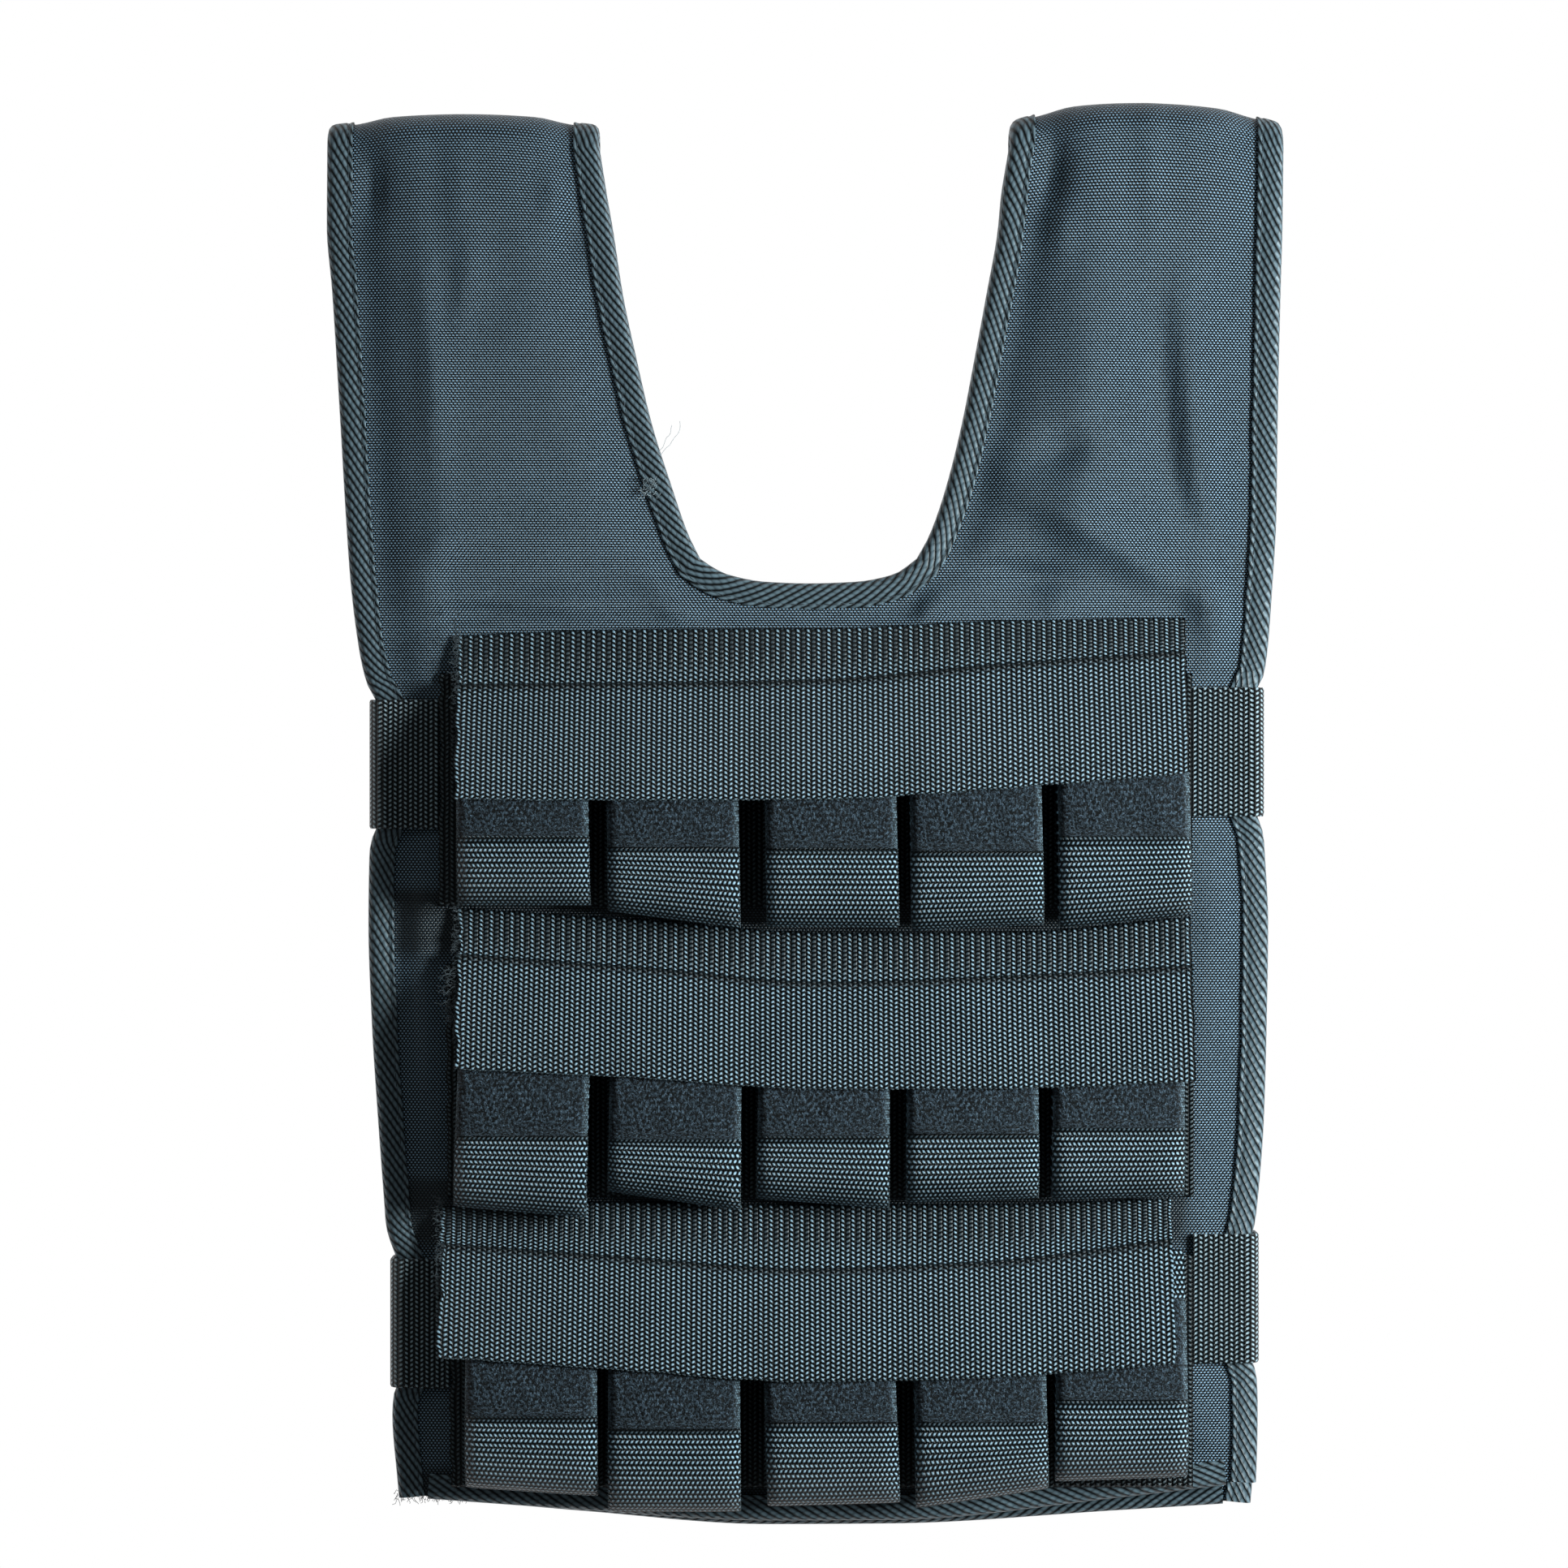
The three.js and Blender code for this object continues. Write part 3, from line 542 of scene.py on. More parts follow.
def slab(name, material, us, vs, place, keep=None, loop=False):
    """Closes a grid into a solid. place gives, for a column, a row and a side, the point in millimetres and
    its place in the flat cloth."""
    bm = bmesh.new()
    cell = bm.verts.layers.int.new("cell")
    weave = bm.verts.layers.float_vector.new("weave")
    across = len(us)
    bmesh.ops.create_grid(bm, x_segments=across - 1, y_segments=len(vs) - 1, size=1)
    for n, vert in enumerate(bm.verts):
        vert[cell] = n

    def corner(face):
        return divmod(min(vert[cell] for vert in face.verts), across)

    if keep:
        left_out = [face for face in bm.faces if not keep(*reversed(corner(face)))]
        bmesh.ops.delete(bm, geom=left_out, context="FACES")
    skin = bmesh.ops.extrude_face_region(bm, geom=bm.faces[:])
    outer = {item for item in skin["geom"] if isinstance(item, bmesh.types.BMVert)}
    for vert in bm.verts:
        j, i = divmod(vert[cell], across)
        point, flat = place(us[i], vs[j], 1 if vert in outer else -1)
        vert.co = Vector(point) * MM
        vert[weave] = Vector(flat)
    if loop:
        ends = (0, len(vs) - 1)
        caps = [
            face
            for face in bm.faces
            if any(all(vert[cell] // across == end for vert in face.verts) for end in ends)
        ]
        bmesh.ops.delete(bm, geom=caps, context="FACES_ONLY")
        bmesh.ops.remove_doubles(bm, verts=bm.verts[:], dist=MM / 1000)
    bmesh.ops.recalc_face_normals(bm, faces=bm.faces[:])
    return finish_mesh(bm, name, material)


def lengths(points):
    """Distance along a run of points, up to each of them."""
    total = [0]
    for a, b in zip(points, points[1:]):
        total.append(total[-1] + (b - a).length)
    return total


class Sum:
    """A number in a material, on which plain arithmetic adds the nodes."""

    def __init__(self, tree, value):
        self.tree = tree
        self.value = value

    def do(self, operation, *others):
        node = self.tree.nodes.new("ShaderNodeMath")
        node.operation = operation
        for socket, item in zip(node.inputs, (self, *others)):
            value = item.value if isinstance(item, Sum) else item
            if isinstance(value, bpy.types.NodeSocket):
                self.tree.links.new(value, socket)
            else:
                socket.default_value = value
        return Sum(self.tree, node.outputs[0])

    def __add__(self, other):
        return self.do("ADD", other)

    def __sub__(self, other):
        return self.do("SUBTRACT", other)

    def __mul__(self, other):
        return self.do("MULTIPLY", other)

    def __truediv__(self, other):
        return self.do("DIVIDE", other)

    def floor(self):
        return self.do("FLOOR")

    def fract(self):
        return self.do("FRACT")

    def most(self, other):
        return self.do("MAXIMUM", other)

    def least(self, other):
        return self.do("MINIMUM", other)

    def ramp(self, low, high):
        node = self.tree.nodes.new("ShaderNodeMapRange")
        node.interpolation_type = "SMOOTHSTEP"
        self.tree.links.new(self.value, node.inputs["Value"])
        node.inputs["From Min"].default_value = low
        node.inputs["From Max"].default_value = high
        return Sum(self.tree, node.outputs["Result"])


SHEEN_ROUGHNESS = 0.4
NOISE_ROUGHNESS = 0.65


class Finish:
    """A cloth material, with its places in the flat cloth in millimetres."""

    def __init__(self, name, roughness, sheen, bump, specular):
        self.material = bpy.data.materials.new(name)
        self.material.use_nodes = True
        self.tree = self.material.node_tree
        self.shader = self.tree.nodes["Principled BSDF"]
        self.shader.inputs["Roughness"].default_value = roughness
        self.shader.inputs["Sheen Weight"].default_value = sheen
        self.shader.inputs["Sheen Roughness"].default_value = SHEEN_ROUGHNESS
        self.shader.inputs["Specular IOR Level"].default_value = specular
        self.bump = bump
        flat = self.node("ShaderNodeAttribute")
        flat.attribute_name = "weave"
        self.flat = flat.outputs["Vector"]
        parts = self.node("ShaderNodeSeparateXYZ")
        self.tree.links.new(self.flat, parts.inputs[0])
        # u and v are the place in the flat cloth; w is painted shade where below 0, the banding share on the
        # hinges and the selvedge share on the patches
        self.u, self.v, self.w = (Sum(self.tree, out) for out in parts.outputs)

    def node(self, kind):
        return self.tree.nodes.new(kind)

    def noise(self, scale, detail=2.0, stretch=(1, 1, 1)):
        """Noise between 0 and 1, with so many lumps a millimetre."""
        place = self.node("ShaderNodeMapping")
        place.inputs["Scale"].default_value = [scale * share for share in stretch]
        self.tree.links.new(self.flat, place.inputs["Vector"])
        cloud = self.node("ShaderNodeTexNoise")
        cloud.inputs["Scale"].default_value = 1
        cloud.inputs["Detail"].default_value = detail
        cloud.inputs["Roughness"].default_value = NOISE_ROUGHNESS
        self.tree.links.new(place.outputs[0], cloud.inputs["Vector"])
        return Sum(self.tree, cloud.outputs["Fac"])

    def blend(self, share, low, high):
        """A colour between two, each a colour or a socket."""
        node = self.node("ShaderNodeMix")
        node.data_type = "RGBA"
        self.tree.links.new(share.value, node.inputs[0])
        for socket, colour in ((node.inputs[6], low), (node.inputs[7], high)):
            if isinstance(colour, bpy.types.NodeSocket):
                self.tree.links.new(colour, socket)
            else:
                socket.default_value = (*colour, 1)
        return node.outputs[2]

    def done(self, colour, height):
        """Joins the colour and the height of the weave, in millimetres, to the shader."""
        self.tree.links.new(colour, self.shader.inputs["Base Color"])
        bump = self.node("ShaderNodeBump")
        bump.inputs["Strength"].default_value = 1
        bump.inputs["Distance"].default_value = self.bump * MM
        self.tree.links.new(height.value, bump.inputs["Height"])
        self.tree.links.new(bump.outputs[0], self.shader.inputs["Normal"])
        return self.material


KNOT_ACROSS = 3.6
KNOT_ALONG = 3.9


def knots(u, v, across, along, slant):
    """Height of rows of knots, every second row shifted by half a knot, and the row's parity."""
    row = u / across
    odd = (row.floor() * 0.5).fract() * 2
    side = row.fract() - 0.5
    lean = (odd * 2 - 1) * side * slant
    step = (v / along + odd * 0.5 + lean).fract() - 0.5
    round_u = (side * side * -KNOT_ACROSS + 1).most(0)
    round_v = (step * step * -KNOT_ALONG + 1).most(0)
    return round_u * round_v, odd


# Painted shade in the weaves' gaps and painted highlight on their thread tops, as shares of a finish's
# middle colour
WEAVE_SHADE_SHARE = 0.02
WEAVE_HIGHLIGHT_SHARE = 7.5
# The backings' webbing is the strap's colour darkened by this share: painted shade for where they lie under
# the flaps and pouches
BACKING_SHADE_SHARE = 0.25
HIGHLIGHT_PALING = 0.25


def shade_and_highlight_tones(colour):
    """Painted shade for a finish's gaps and painted highlight for its thread tops, from its middle colour.
    """
    pale = sum(colour) / len(colour)
    dark = tuple(c * WEAVE_SHADE_SHARE for c in colour)
    return dark, tuple(min(1, mix(c, pale, HIGHLIGHT_PALING) * WEAVE_HIGHLIGHT_SHARE) for c in colour)


def cloth_finish(sizes, colours):
    """Plain woven cloth of the padded shell."""
    finish = Finish("shell_cloth", roughness=0.42, sheen=0.03, bump=0.3, specular=0.5)
    height, _ = knots(finish.v, finish.u, sizes.cloth_row, sizes.cloth_thread, 0)
    wander = finish.noise(0.05, 3)
    slub = finish.noise(0.6, 2, (0.4, 1.6, 1))
    # Painted shade in the gaps between threads and painted highlight on the thread tops
    dark, light = shade_and_highlight_tones(colours.cloth)
    # Times the painted shade carried in the weave's third value, over the folds and below the rows of
    # pouches
    share = height.ramp(0.5, 0.98) * (slub * 0.6 + 0.7) * (wander * 0.5 + 0.75) * (finish.w + 1)
    return finish.done(finish.blend(share, dark, light), height)


TWILL_SLOPE = 1.88
TWILL_THREAD = 4.6


def tape_finish(sizes, colours):
    """Twill tape: slanted ribs, each a run of short threads."""
    finish = Finish("binding_tape", roughness=0.45, sheen=0, bump=0.4, specular=0.4)
    slanted = (finish.u * TWILL_SLOPE + finish.v) / (sizes.twill_rib * math.hypot(1, TWILL_SLOPE))
    rib = slanted.fract() - 0.5
    bar = (rib * rib * -3.8 + 1).most(0)
    threads = ((finish.v - finish.u * TWILL_SLOPE) / TWILL_THREAD + slanted.floor() * 0.37).fract() - 0.5
    thread = (threads * threads * -3 + 1).most(0)
    height = bar * (thread * 0.35 + 0.65)
    # Painted shade in the gaps between ribs and painted highlight on the rib tops
    dark, light = shade_and_highlight_tones(colours.tape)
    share = height.ramp(0.25, 1.15) * (finish.noise(0.25, 3) * 0.9 + 0.55)
    return finish.done(finish.blend(share, dark, light), height)


def webbing_finish(name, sizes, colour, banded=0.0):
    """Webbing: chains of knots across its width, every second one darker by how far it is banded."""
    finish = Finish(name, roughness=0.42, sheen=0, bump=0.7, specular=0.4)
    height, odd = knots(finish.u, finish.v, sizes.chain, sizes.knot, 0.4)
    wander = finish.noise(0.06, 3)
    fuzz = finish.noise(2.2, 2)
    shade = odd * finish.w.most(0) * banded * -1 + 1
    # Painted shade: negative third weave values darken the webbing, as shadow lines at the band's top edge,
    # in its stitch grooves and below the patches, and as shade over the pouches' feet
    line = finish.w.least(0) + 1
    # Painted shade in the gaps between knots and painted highlight on the knot tops
    dark, light = shade_and_highlight_tones(colour)
    share = height.ramp(0.5, 1.0) * (fuzz * 0.7 + 0.65) * (wander * 0.6 + 0.7) * shade * line
    return finish.done(finish.blend(share, dark, light), height * (shade * 0.5 + 0.5))


def loop_finish(colours):
    """Fuzzy loop pile, with a plain woven edge at each side."""
    finish = Finish("loop_patch", roughness=0.8, sheen=0.1, bump=0.8, specular=0.35)
    fine = finish.noise(0.85, 4)
    coarse = finish.noise(0.25, 2)
    glints = finish.noise(0.8, 2).ramp(0.55, 0.66)
    pile = fine.ramp(0.44, 0.66) * (coarse * 0.8 + 0.2) + glints * 1.1
    plain, _ = knots(finish.v, finish.u, 0.8, 0.8, 0)
    edge = finish.w
    # Painted shade and painted highlight of the pile and of the plain selvedge weave
    dark, light = shade_and_highlight_tones(colours.loop)
    selvedge_dark, selvedge_light = shade_and_highlight_tones(colours.webbing)
    pile_colour = finish.blend(pile, dark, light)
    edge_colour = finish.blend(plain * fine.ramp(0.35, 0.65) * 0.55, selvedge_dark, selvedge_light)
    height = pile * (edge * -1 + 1) + plain * edge * 0.3
    return finish.done(finish.blend(edge, pile_colour, edge_colour), height)


THREAD_LUMPS = 900


def thread_finish(name, colour, roughness=0.6):
    """Sewing thread or loose fibre."""
    material = bpy.data.materials.new(name)
    material.use_nodes = True
    tree = material.node_tree
    shader = tree.nodes["Principled BSDF"]
    shader.inputs["Roughness"].default_value = roughness
    shader.inputs["Sheen Weight"].default_value = 0.2
    place = tree.nodes.new("ShaderNodeTexCoord")
    cloud = tree.nodes.new("ShaderNodeTexNoise")
    cloud.inputs["Scale"].default_value = THREAD_LUMPS
    tree.links.new(place.outputs["Object"], cloud.inputs["Vector"])
    colours = tree.nodes.new("ShaderNodeMix")
    colours.data_type = "RGBA"
    colours.inputs[6].default_value = (*(c * 0.5 for c in colour), 1)
    colours.inputs[7].default_value = (*(min(1, c * 1.6) for c in colour), 1)
    tree.links.new(cloud.outputs["Fac"], colours.inputs[0])
    tree.links.new(colours.outputs[2], shader.inputs["Base Color"])
    return material


# Grid of the shell: strap and neck columns, and rows from the front hem over the fold to the back hem
STRAP_COLUMNS = 30
NECK_COLUMNS = 24
SHELL_COLUMNS = 2 * STRAP_COLUMNS + NECK_COLUMNS
FRONT_ROWS = (104, 46)
BACK_ROWS = (46, 22)
FOLD_ROWS = 16


def shell_rows():
    """Rows as face, zone, share of the zone, and turn round the fold."""
    front_body, front_strap = FRONT_ROWS
    back_body, back_strap = BACK_ROWS
    rows = [("front", "body", k / front_body, QUARTER) for k in range(front_body, -1, -1)]
    rows += [("front", "strap", k / front_strap, QUARTER) for k in range(front_strap - 1, 0, -1)]
    half = FOLD_ROWS // 2
    rows += [("front", "strap", 0, QUARTER * (1 - k / half)) for k in range(half)]
    rows += [("back", "strap", 0, QUARTER * k / half) for k in range(half + 1)]
    rows += [("back", "strap", k / back_strap, QUARTER) for k in range(1, back_strap)]
    rows += [("back", "body", k / back_body, QUARTER) for k in range(back_body + 1)]
    return rows


def strap_column_x(i, down):
    """Place of a column between the two bound edges of a shoulder strap."""
    if i <= STRAP_COLUMNS:
        low, high = edge_x(-1, down) + EDGE_INSET, neck_x(-1, down) - EDGE_INSET
        return mix(low, high, i / STRAP_COLUMNS)
    low, high = neck_x(1, down) + EDGE_INSET, edge_x(1, down) - EDGE_INSET
    return mix(low, high, (i - STRAP_COLUMNS - NECK_COLUMNS) / STRAP_COLUMNS)


def shell_top(i):
    """Place of a column at the level of the neck's corners and base."""
    if STRAP_COLUMNS < i < STRAP_COLUMNS + NECK_COLUMNS:
        low = strap_column_x(STRAP_COLUMNS, NECK_CORNER_DOWN)
        high = strap_column_x(STRAP_COLUMNS + NECK_COLUMNS, NECK_CORNER_DOWN)
        x = mix(low, high, (i - STRAP_COLUMNS) / NECK_COLUMNS)
        return x, neck_base_down(x) + EDGE_INSET
    return strap_column_x(i, NECK_CORNER_DOWN), NECK_CORNER_DOWN


def shell_node(i, row):
    """x and distance down of a node of the shell's grid."""
    face, zone, share, _ = row
    if zone == "strap":
        down = share * NECK_CORNER_DOWN
        if STRAP_COLUMNS < i < STRAP_COLUMNS + NECK_COLUMNS:
            return 0, down
        return strap_column_x(i, down), down
    top_x, top_down = shell_top(i)
    even = i / SHELL_COLUMNS
    low, high = edge_x(-1, BODY_LENGTH) + EDGE_INSET, edge_x(1, BODY_LENGTH) - EDGE_INSET
    down = mix(top_down, hem_down(mix(low, high, even), face) - EDGE_INSET, share)
    top_low, top_high = shell_top(0)[0], shell_top(SHELL_COLUMNS)[0]
    across = mix((top_x - top_low) / (top_high - top_low), even, smooth(3 * share))
    return mix(edge_x(-1, down) + EDGE_INSET, edge_x(1, down) - EDGE_INSET, across), down


def pad_half(x, down, face):
    """Half of the shell's thickness, and the distance in from its binding."""
    inside = max(0, edge_distance(x, down, face) - BOUND_WIDTH - GAP)
    return mix(EDGE_THICKNESS, PAD_THICKNESS, smooth(inside / PAD_RAMP)) / 2, inside


# The front cloth, in millimetres: free above the pouches, held under them and beneath the side straps
HELD_LEFT = -140
HELD_RIGHT = 152
HELD_DOWN = 178
HELD_EASE = 40
SIDE_DOWN = 150
SIDE_PUFF = 0.35
STRAP_HOLD = 1.3
PUFF_EASE = 26
FOLD_EASE = 7
DRIFT_RISE = 0.35
DRIFT_SIZE = 22
COVER_LEFT = -136
COVER_RIGHT = 149
COVER_DOWN = 182
COVER_SHARE = 0.25


def plump(x, down, inside, sizes):
    """How far the front cloth stands out beyond the plain pad."""
    y = FOLD_Y - down
    if HELD_LEFT < x < HELD_RIGHT:
        free = smooth((HELD_DOWN - down) / HELD_EASE)
    else:
        free = mix(1, SIDE_PUFF, smooth((down - SIDE_DOWN) / HELD_EASE))
    middles = [middle * BODY_LENGTH for side, _, middle in SIDE_STRAPS.values() if side * x > 0]
    strapped = max((smooth(STRAP_HOLD - abs(down - middle) / HELD_EASE) for middle in middles), default=0)
    puff = sizes.puff * smooth(inside / PUFF_EASE) * free
    uneven = folds(x, y) * sizes.fold_depth + DRIFT_RISE * drift(x, y, DRIFT_SIZE, 3.1)
    covered = down > COVER_DOWN and COVER_LEFT < x < COVER_RIGHT
    soft = uneven * smooth(inside / FOLD_EASE) * (COVER_SHARE if covered else 1)
    return (puff + soft) * (1 - strapped)


# Painted shade on the front cloth: darker over the shoulder folds where they turn away, and in the deep gaps
# below the rows of pouches
FOLD_SHADE = 0.5
GAP_SHADE = 0.85
GAP_PAST_LEFT = 34
GAP_PAST_RIGHT = 4
GAP_ABOVE = 10
GAP_BELOW = 24


def painted_cloth_shade(x, down, turn, face):
    """How far painted shade darkens the cloth."""
    if face == "back":
        return 0
    shade = FOLD_SHADE * (1 - math.sin(turn))
    across = smooth((x - row_x(-1) + GAP_PAST_LEFT) / 12) * smooth((row_x(1) + GAP_PAST_RIGHT - x) / 6)
    for row in range(len(POUCHES)):
        below = down - row_down(row) - ROW_PITCH
        deep = smooth((below + GAP_ABOVE) / 5) * smooth((GAP_BELOW - below) / 10)
        shade = max(shade, GAP_SHADE * across * deep)
    return shade


def build_shell(sizes, material):
    """The padded cloth, from the front hem over the shoulders to the back hem."""
    rows = shell_rows()
    nodes = {}
    arc = FOLD_RADIUS + PAD_THICKNESS / 2

    def node(i, j):
        if (i, j) not in nodes:
            x, down = shell_node(i, rows[j])
            face = rows[j][0]
            half, inside = pad_half(x, down, face)
            extra = plump(x, down, inside, sizes) if face == "front" else 0
            nodes[(i, j)] = x, down, half, extra
        return nodes[(i, j)]

    def place(i, j, side):
        face, _, _, turn = rows[j]
        x, down, half, extra = node(i, j)
        soft = extra * math.sin(turn) ** 2 if side > 0 else 0
        point = shell_point(x, down, turn, face, side * half + soft)
        if face == "front":
            along = arc * (QUARTER - turn) - down
        else:
            along = arc * (QUARTER + turn) + down
        # The third value carries the painted shade of the cloth
        return point, (x, along, -painted_cloth_shade(x, down, turn, face))

    def keep(i, j):
        in_neck = STRAP_COLUMNS <= i < STRAP_COLUMNS + NECK_COLUMNS
        return not (in_neck and "strap" in (rows[j][1], rows[j + 1][1]))

    shell = slab("shell", material, range(SHELL_COLUMNS + 1), range(len(rows)), place, keep)
    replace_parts(shell, "front_panel", "back_panel")
    return shell


def stations(face, nodes, turn_side):
    """Edge nodes with the unit direction into the shell, square to the line between their neighbours."""
    found = []
    for k, (x, down, turn) in enumerate(nodes):
        before, after = nodes[max(0, k - 1)], nodes[min(len(nodes) - 1, k + 1)]
        dx, dd = after[0] - before[0], after[1] - before[1]
        long = math.hypot(dx, dd)
        if turn < QUARTER or long == 0:
            found.append((face, x, down, turn, turn_side, 0))
        else:
            found.append((face, x, down, turn, turn_side * dd / long, -turn_side * dx / long))
    return found


EDGE_STEP = 4
ROUND_STEPS = 5


def run(start, end):
    """Distances down between two, in steps of about the edge step."""
    return spread(start, end, max(1, round(abs(end - start) / EDGE_STEP)))


def fold_turns():
    return [QUARTER * k / ROUND_STEPS for k in range(ROUND_STEPS)]


def side_stations(side):
    """Stations of a side tape from the front hem over the shoulder to the back hem."""

    def half(face):
        turned = [(edge_x(side, 0) - side * EDGE_INSET, 0, turn) for turn in fold_turns()]
        low = edge_x(side, BODY_LENGTH) - side * EDGE_INSET
        downs = run(0, hem_down(low, face))
        flat = [(edge_x(side, down) - side * EDGE_INSET, down, QUARTER) for down in downs]
        return stations(face, turned + flat, -side)

    return half("front")[::-1] + half("back")[1:]


def neck_stations():
    """Stations of the neck tape, once round and back to its start."""
    def half(face):
        def strap(side):
            turned = [(neck_x(side, 0) + side * EDGE_INSET, 0, turn) for turn in fold_turns()]
            downs = run(0, NECK_CORNER_DOWN)
            return turned + [(neck_x(side, down) + side * EDGE_INSET, down, QUARTER) for down in downs]

        low, high = neck_x(-1, NECK_CORNER_DOWN) - EDGE_INSET, neck_x(1, NECK_CORNER_DOWN) + EDGE_INSET
        xs = spread(low, high, NECK_COLUMNS)[1:-1]
        base = [(x, neck_base_down(x) + EDGE_INSET, QUARTER) for x in xs]
        found = stations(face, strap(-1) + base + strap(1)[::-1], -1)
        return [
            (f, x, down, turn, math.copysign(1, x), 0) if turn < QUARTER else (f, x, down, turn, a, b)
            for f, x, down, turn, a, b in found
        ]

    front, back = half("front"), half("back")
    return front + back[::-1][1:]


def hem_stations(face):
    low, high = edge_x(-1, BODY_LENGTH) + BOUND_WIDTH, edge_x(1, BODY_LENGTH) - BOUND_WIDTH
    nodes = [(x, hem_down(x, face) - EDGE_INSET, QUARTER) for x in run(low, high)]
    return stations(face, nodes, 1)


# Folded tape: its seam and reach, the share of its half width that turns round the edge, the groove that the
# stitches pull in, its lean and waviness, the pinch of its tips, and its stops from the back tip to the edge
STITCH_INSET = 1.9
TAPE_REACH = TAPE_WIDTH - EDGE_INSET
ROUND_SHARE = 0.34
GROOVE_DEPTH = 0.4
GROOVE_WIDTH = 0.7
TAPE_LEAN = 0.15
TAPE_WAVE = 0.35
TAPE_TIP = 0.2
TAPE_STOPS = (-1, -0.97, -0.92, -0.86, -0.8, -0.73, -0.62, -0.48, -0.34, -0.24, -0.12, 0)


def tape_point(station, t, side):
    """A point of the folded tape, t being -1 at its back tip, 0 on the edge and 1 at its front tip."""
    face, x, down, turn, in_x, in_down = station
    reach = TAPE_OUT if side > 0 else TAPE_OUT - TAPE_THICKNESS
    centre = TAPE_OUT - EDGE_INSET
    if abs(t) < ROUND_SHARE:
        angle = abs(t) / ROUND_SHARE * QUARTER
        depth = centre - reach * math.cos(angle)
        height = reach * math.sin(angle)
    else:
        share = (abs(t) - ROUND_SHARE) / (1 - ROUND_SHARE)
        depth = mix(centre, TAPE_REACH, share)
        groove = bell((TAPE_REACH - STITCH_INSET - depth) / GROOVE_WIDTH)
        height = reach - (GROOVE_DEPTH * groove if side > 0 else 0) - TAPE_LEAN * share
    depth += TAPE_WAVE * drift(x, down, 9, 5.0 + (t > 0)) * clamp(abs(t) * 2 - 1)
    return shell_point(x + in_x * depth, down + in_down * depth, turn, face, math.copysign(height, t))


def build_tape(name, material, path, loop=False, way=1):
    """Tape folded round an edge along its stations. way is -1 where its weave runs down the stations."""
    ts = [*TAPE_STOPS, *(-t for t in reversed(TAPE_STOPS[:-1]))]
    along = lengths([tape_point(station, 0, 1) for station in path])

    def place(t, k, side):
        point = tape_point(path[k], t, side)
        if abs(t) == 1:
            point = point.lerp(tape_point(path[k], t, -side), TAPE_TIP)
        return point, (t * TAPE_WIDTH, way * along[k], 0)

    tape = slab(name, material, ts, range(len(path)), place, loop=loop)
    return tape


def tape_runs():
    """The five tapes: name, stations, and whether it closes on itself."""
    return (
        ("neck_binding", neck_stations(), True),
        ("side_binding_left", side_stations(-1), False),
        ("side_binding_right", side_stations(1), False),
        ("hem_binding_front", hem_stations("front"), False),
        ("hem_binding_back", hem_stations("back"), False),
    )


BEND_STEPS = 8
TOP_STEPS = 12
UNDER_STEPS = 6


def strap_path(side, row, middle):
    """Middle line of a side strap as points with their outward directions, and its place down the vest."""
    at = middle * BODY_LENGTH
    downs = [at + STRAP_PINCH * WEBBING_WIDTH * (k / BEND_STEPS - 0.5) for k in range(BEND_STEPS + 1)]
    half = WEBBING_THICKNESS / 2
    out_x = max(abs(edge_x(side, down)) for down in downs) + STRAP_ROOM + half
    top_z = PANEL_TOP + GAP + half
    start = abs(row_x(BACK_ENDS[row][0 if side < 0 else 1])) + GAP
    path = [(x, top_z, 0, 1) for x in spread(start, out_x - STRAP_BEND, TOP_STEPS)[:-1]]
    for centre_z, turned in ((top_z - STRAP_BEND, 90), (half + STRAP_BEND, 0)):
        for k in range(BEND_STEPS + 1):
            angle = math.radians(turned - k * 90 / BEND_STEPS)
            c, s = math.cos(angle), math.sin(angle)
            path.append((out_x - STRAP_BEND + STRAP_BEND * c, centre_z + STRAP_BEND * s, c, s))
    under = spread(out_x - STRAP_BEND, out_x - STRAP_UNDER, UNDER_STEPS)[1:]
    path += [(x, half, 0, -1) for x in under]
    return path, at


def build_side_strap(name, material):
    side, row, middle = SIDE_STRAPS[name]
    path, at = strap_path(side, row, middle)
    along = lengths([Vector((x, z)) for x, z, _, _ in path])
    widths = stops(WEBBING_WIDTH, 3)

    def place(w, k, face):
        x, z, nx, nz = path[k]
        half = WEBBING_THICKNESS / 2 * rim(w, WEBBING_WIDTH)
        y = FOLD_Y - at + (w - WEBBING_WIDTH / 2)
        return (side * (x + nx * half * face), y, z + nz * half * face), (along[k], w, 0)

    strap = slab(f"{name}_webbing", material, widths, range(len(path)), place)
    return strap


def ragged(at, seed, depth):
    """How far a cut end runs out past its line, along the cut."""
    return depth * (0.6 * drift(at, 0, 3.0, seed) + 0.5 * drift(at, 0, 9.0, seed + 2))


def build_backing(row, material):
    left, right = (row_x(share) for share in BACK_ENDS[row])
    long = right - left
    top, foot = row_down(row) + BACKING_TOP, row_down(row) + ROW_PITCH - 2 * GAP
    low = PANEL_TOP + GAP
    xs = [0, 0.4, 1, 2, *stops(long, 12, (3, 5))[1:-1], long - 2, long - 1, long - 0.4, long]

    def place(x, w, face):
        end = clamp(1 - x / 3) * -ragged(w, 1.7 + row, 1.6)
        z = low + (WEBBING_THICKNESS * rim(w, foot - top) if face > 0 else 0)
        return (left + x + end, FOLD_Y - top - w, z), (x, w, 0)

    backing = slab(f"row_{row + 1}_backing_webbing", material, xs, stops(foot - top, 1.5), place)
    (foot - top) * MM
    long * MM
    return backing


# Seams: over the flap's lower edge, under the top of its band, and over the patch's lower edge
STITCH_RISE = 6.2
BAND_STITCH = 2.2
PATCH_STITCH = 5.2

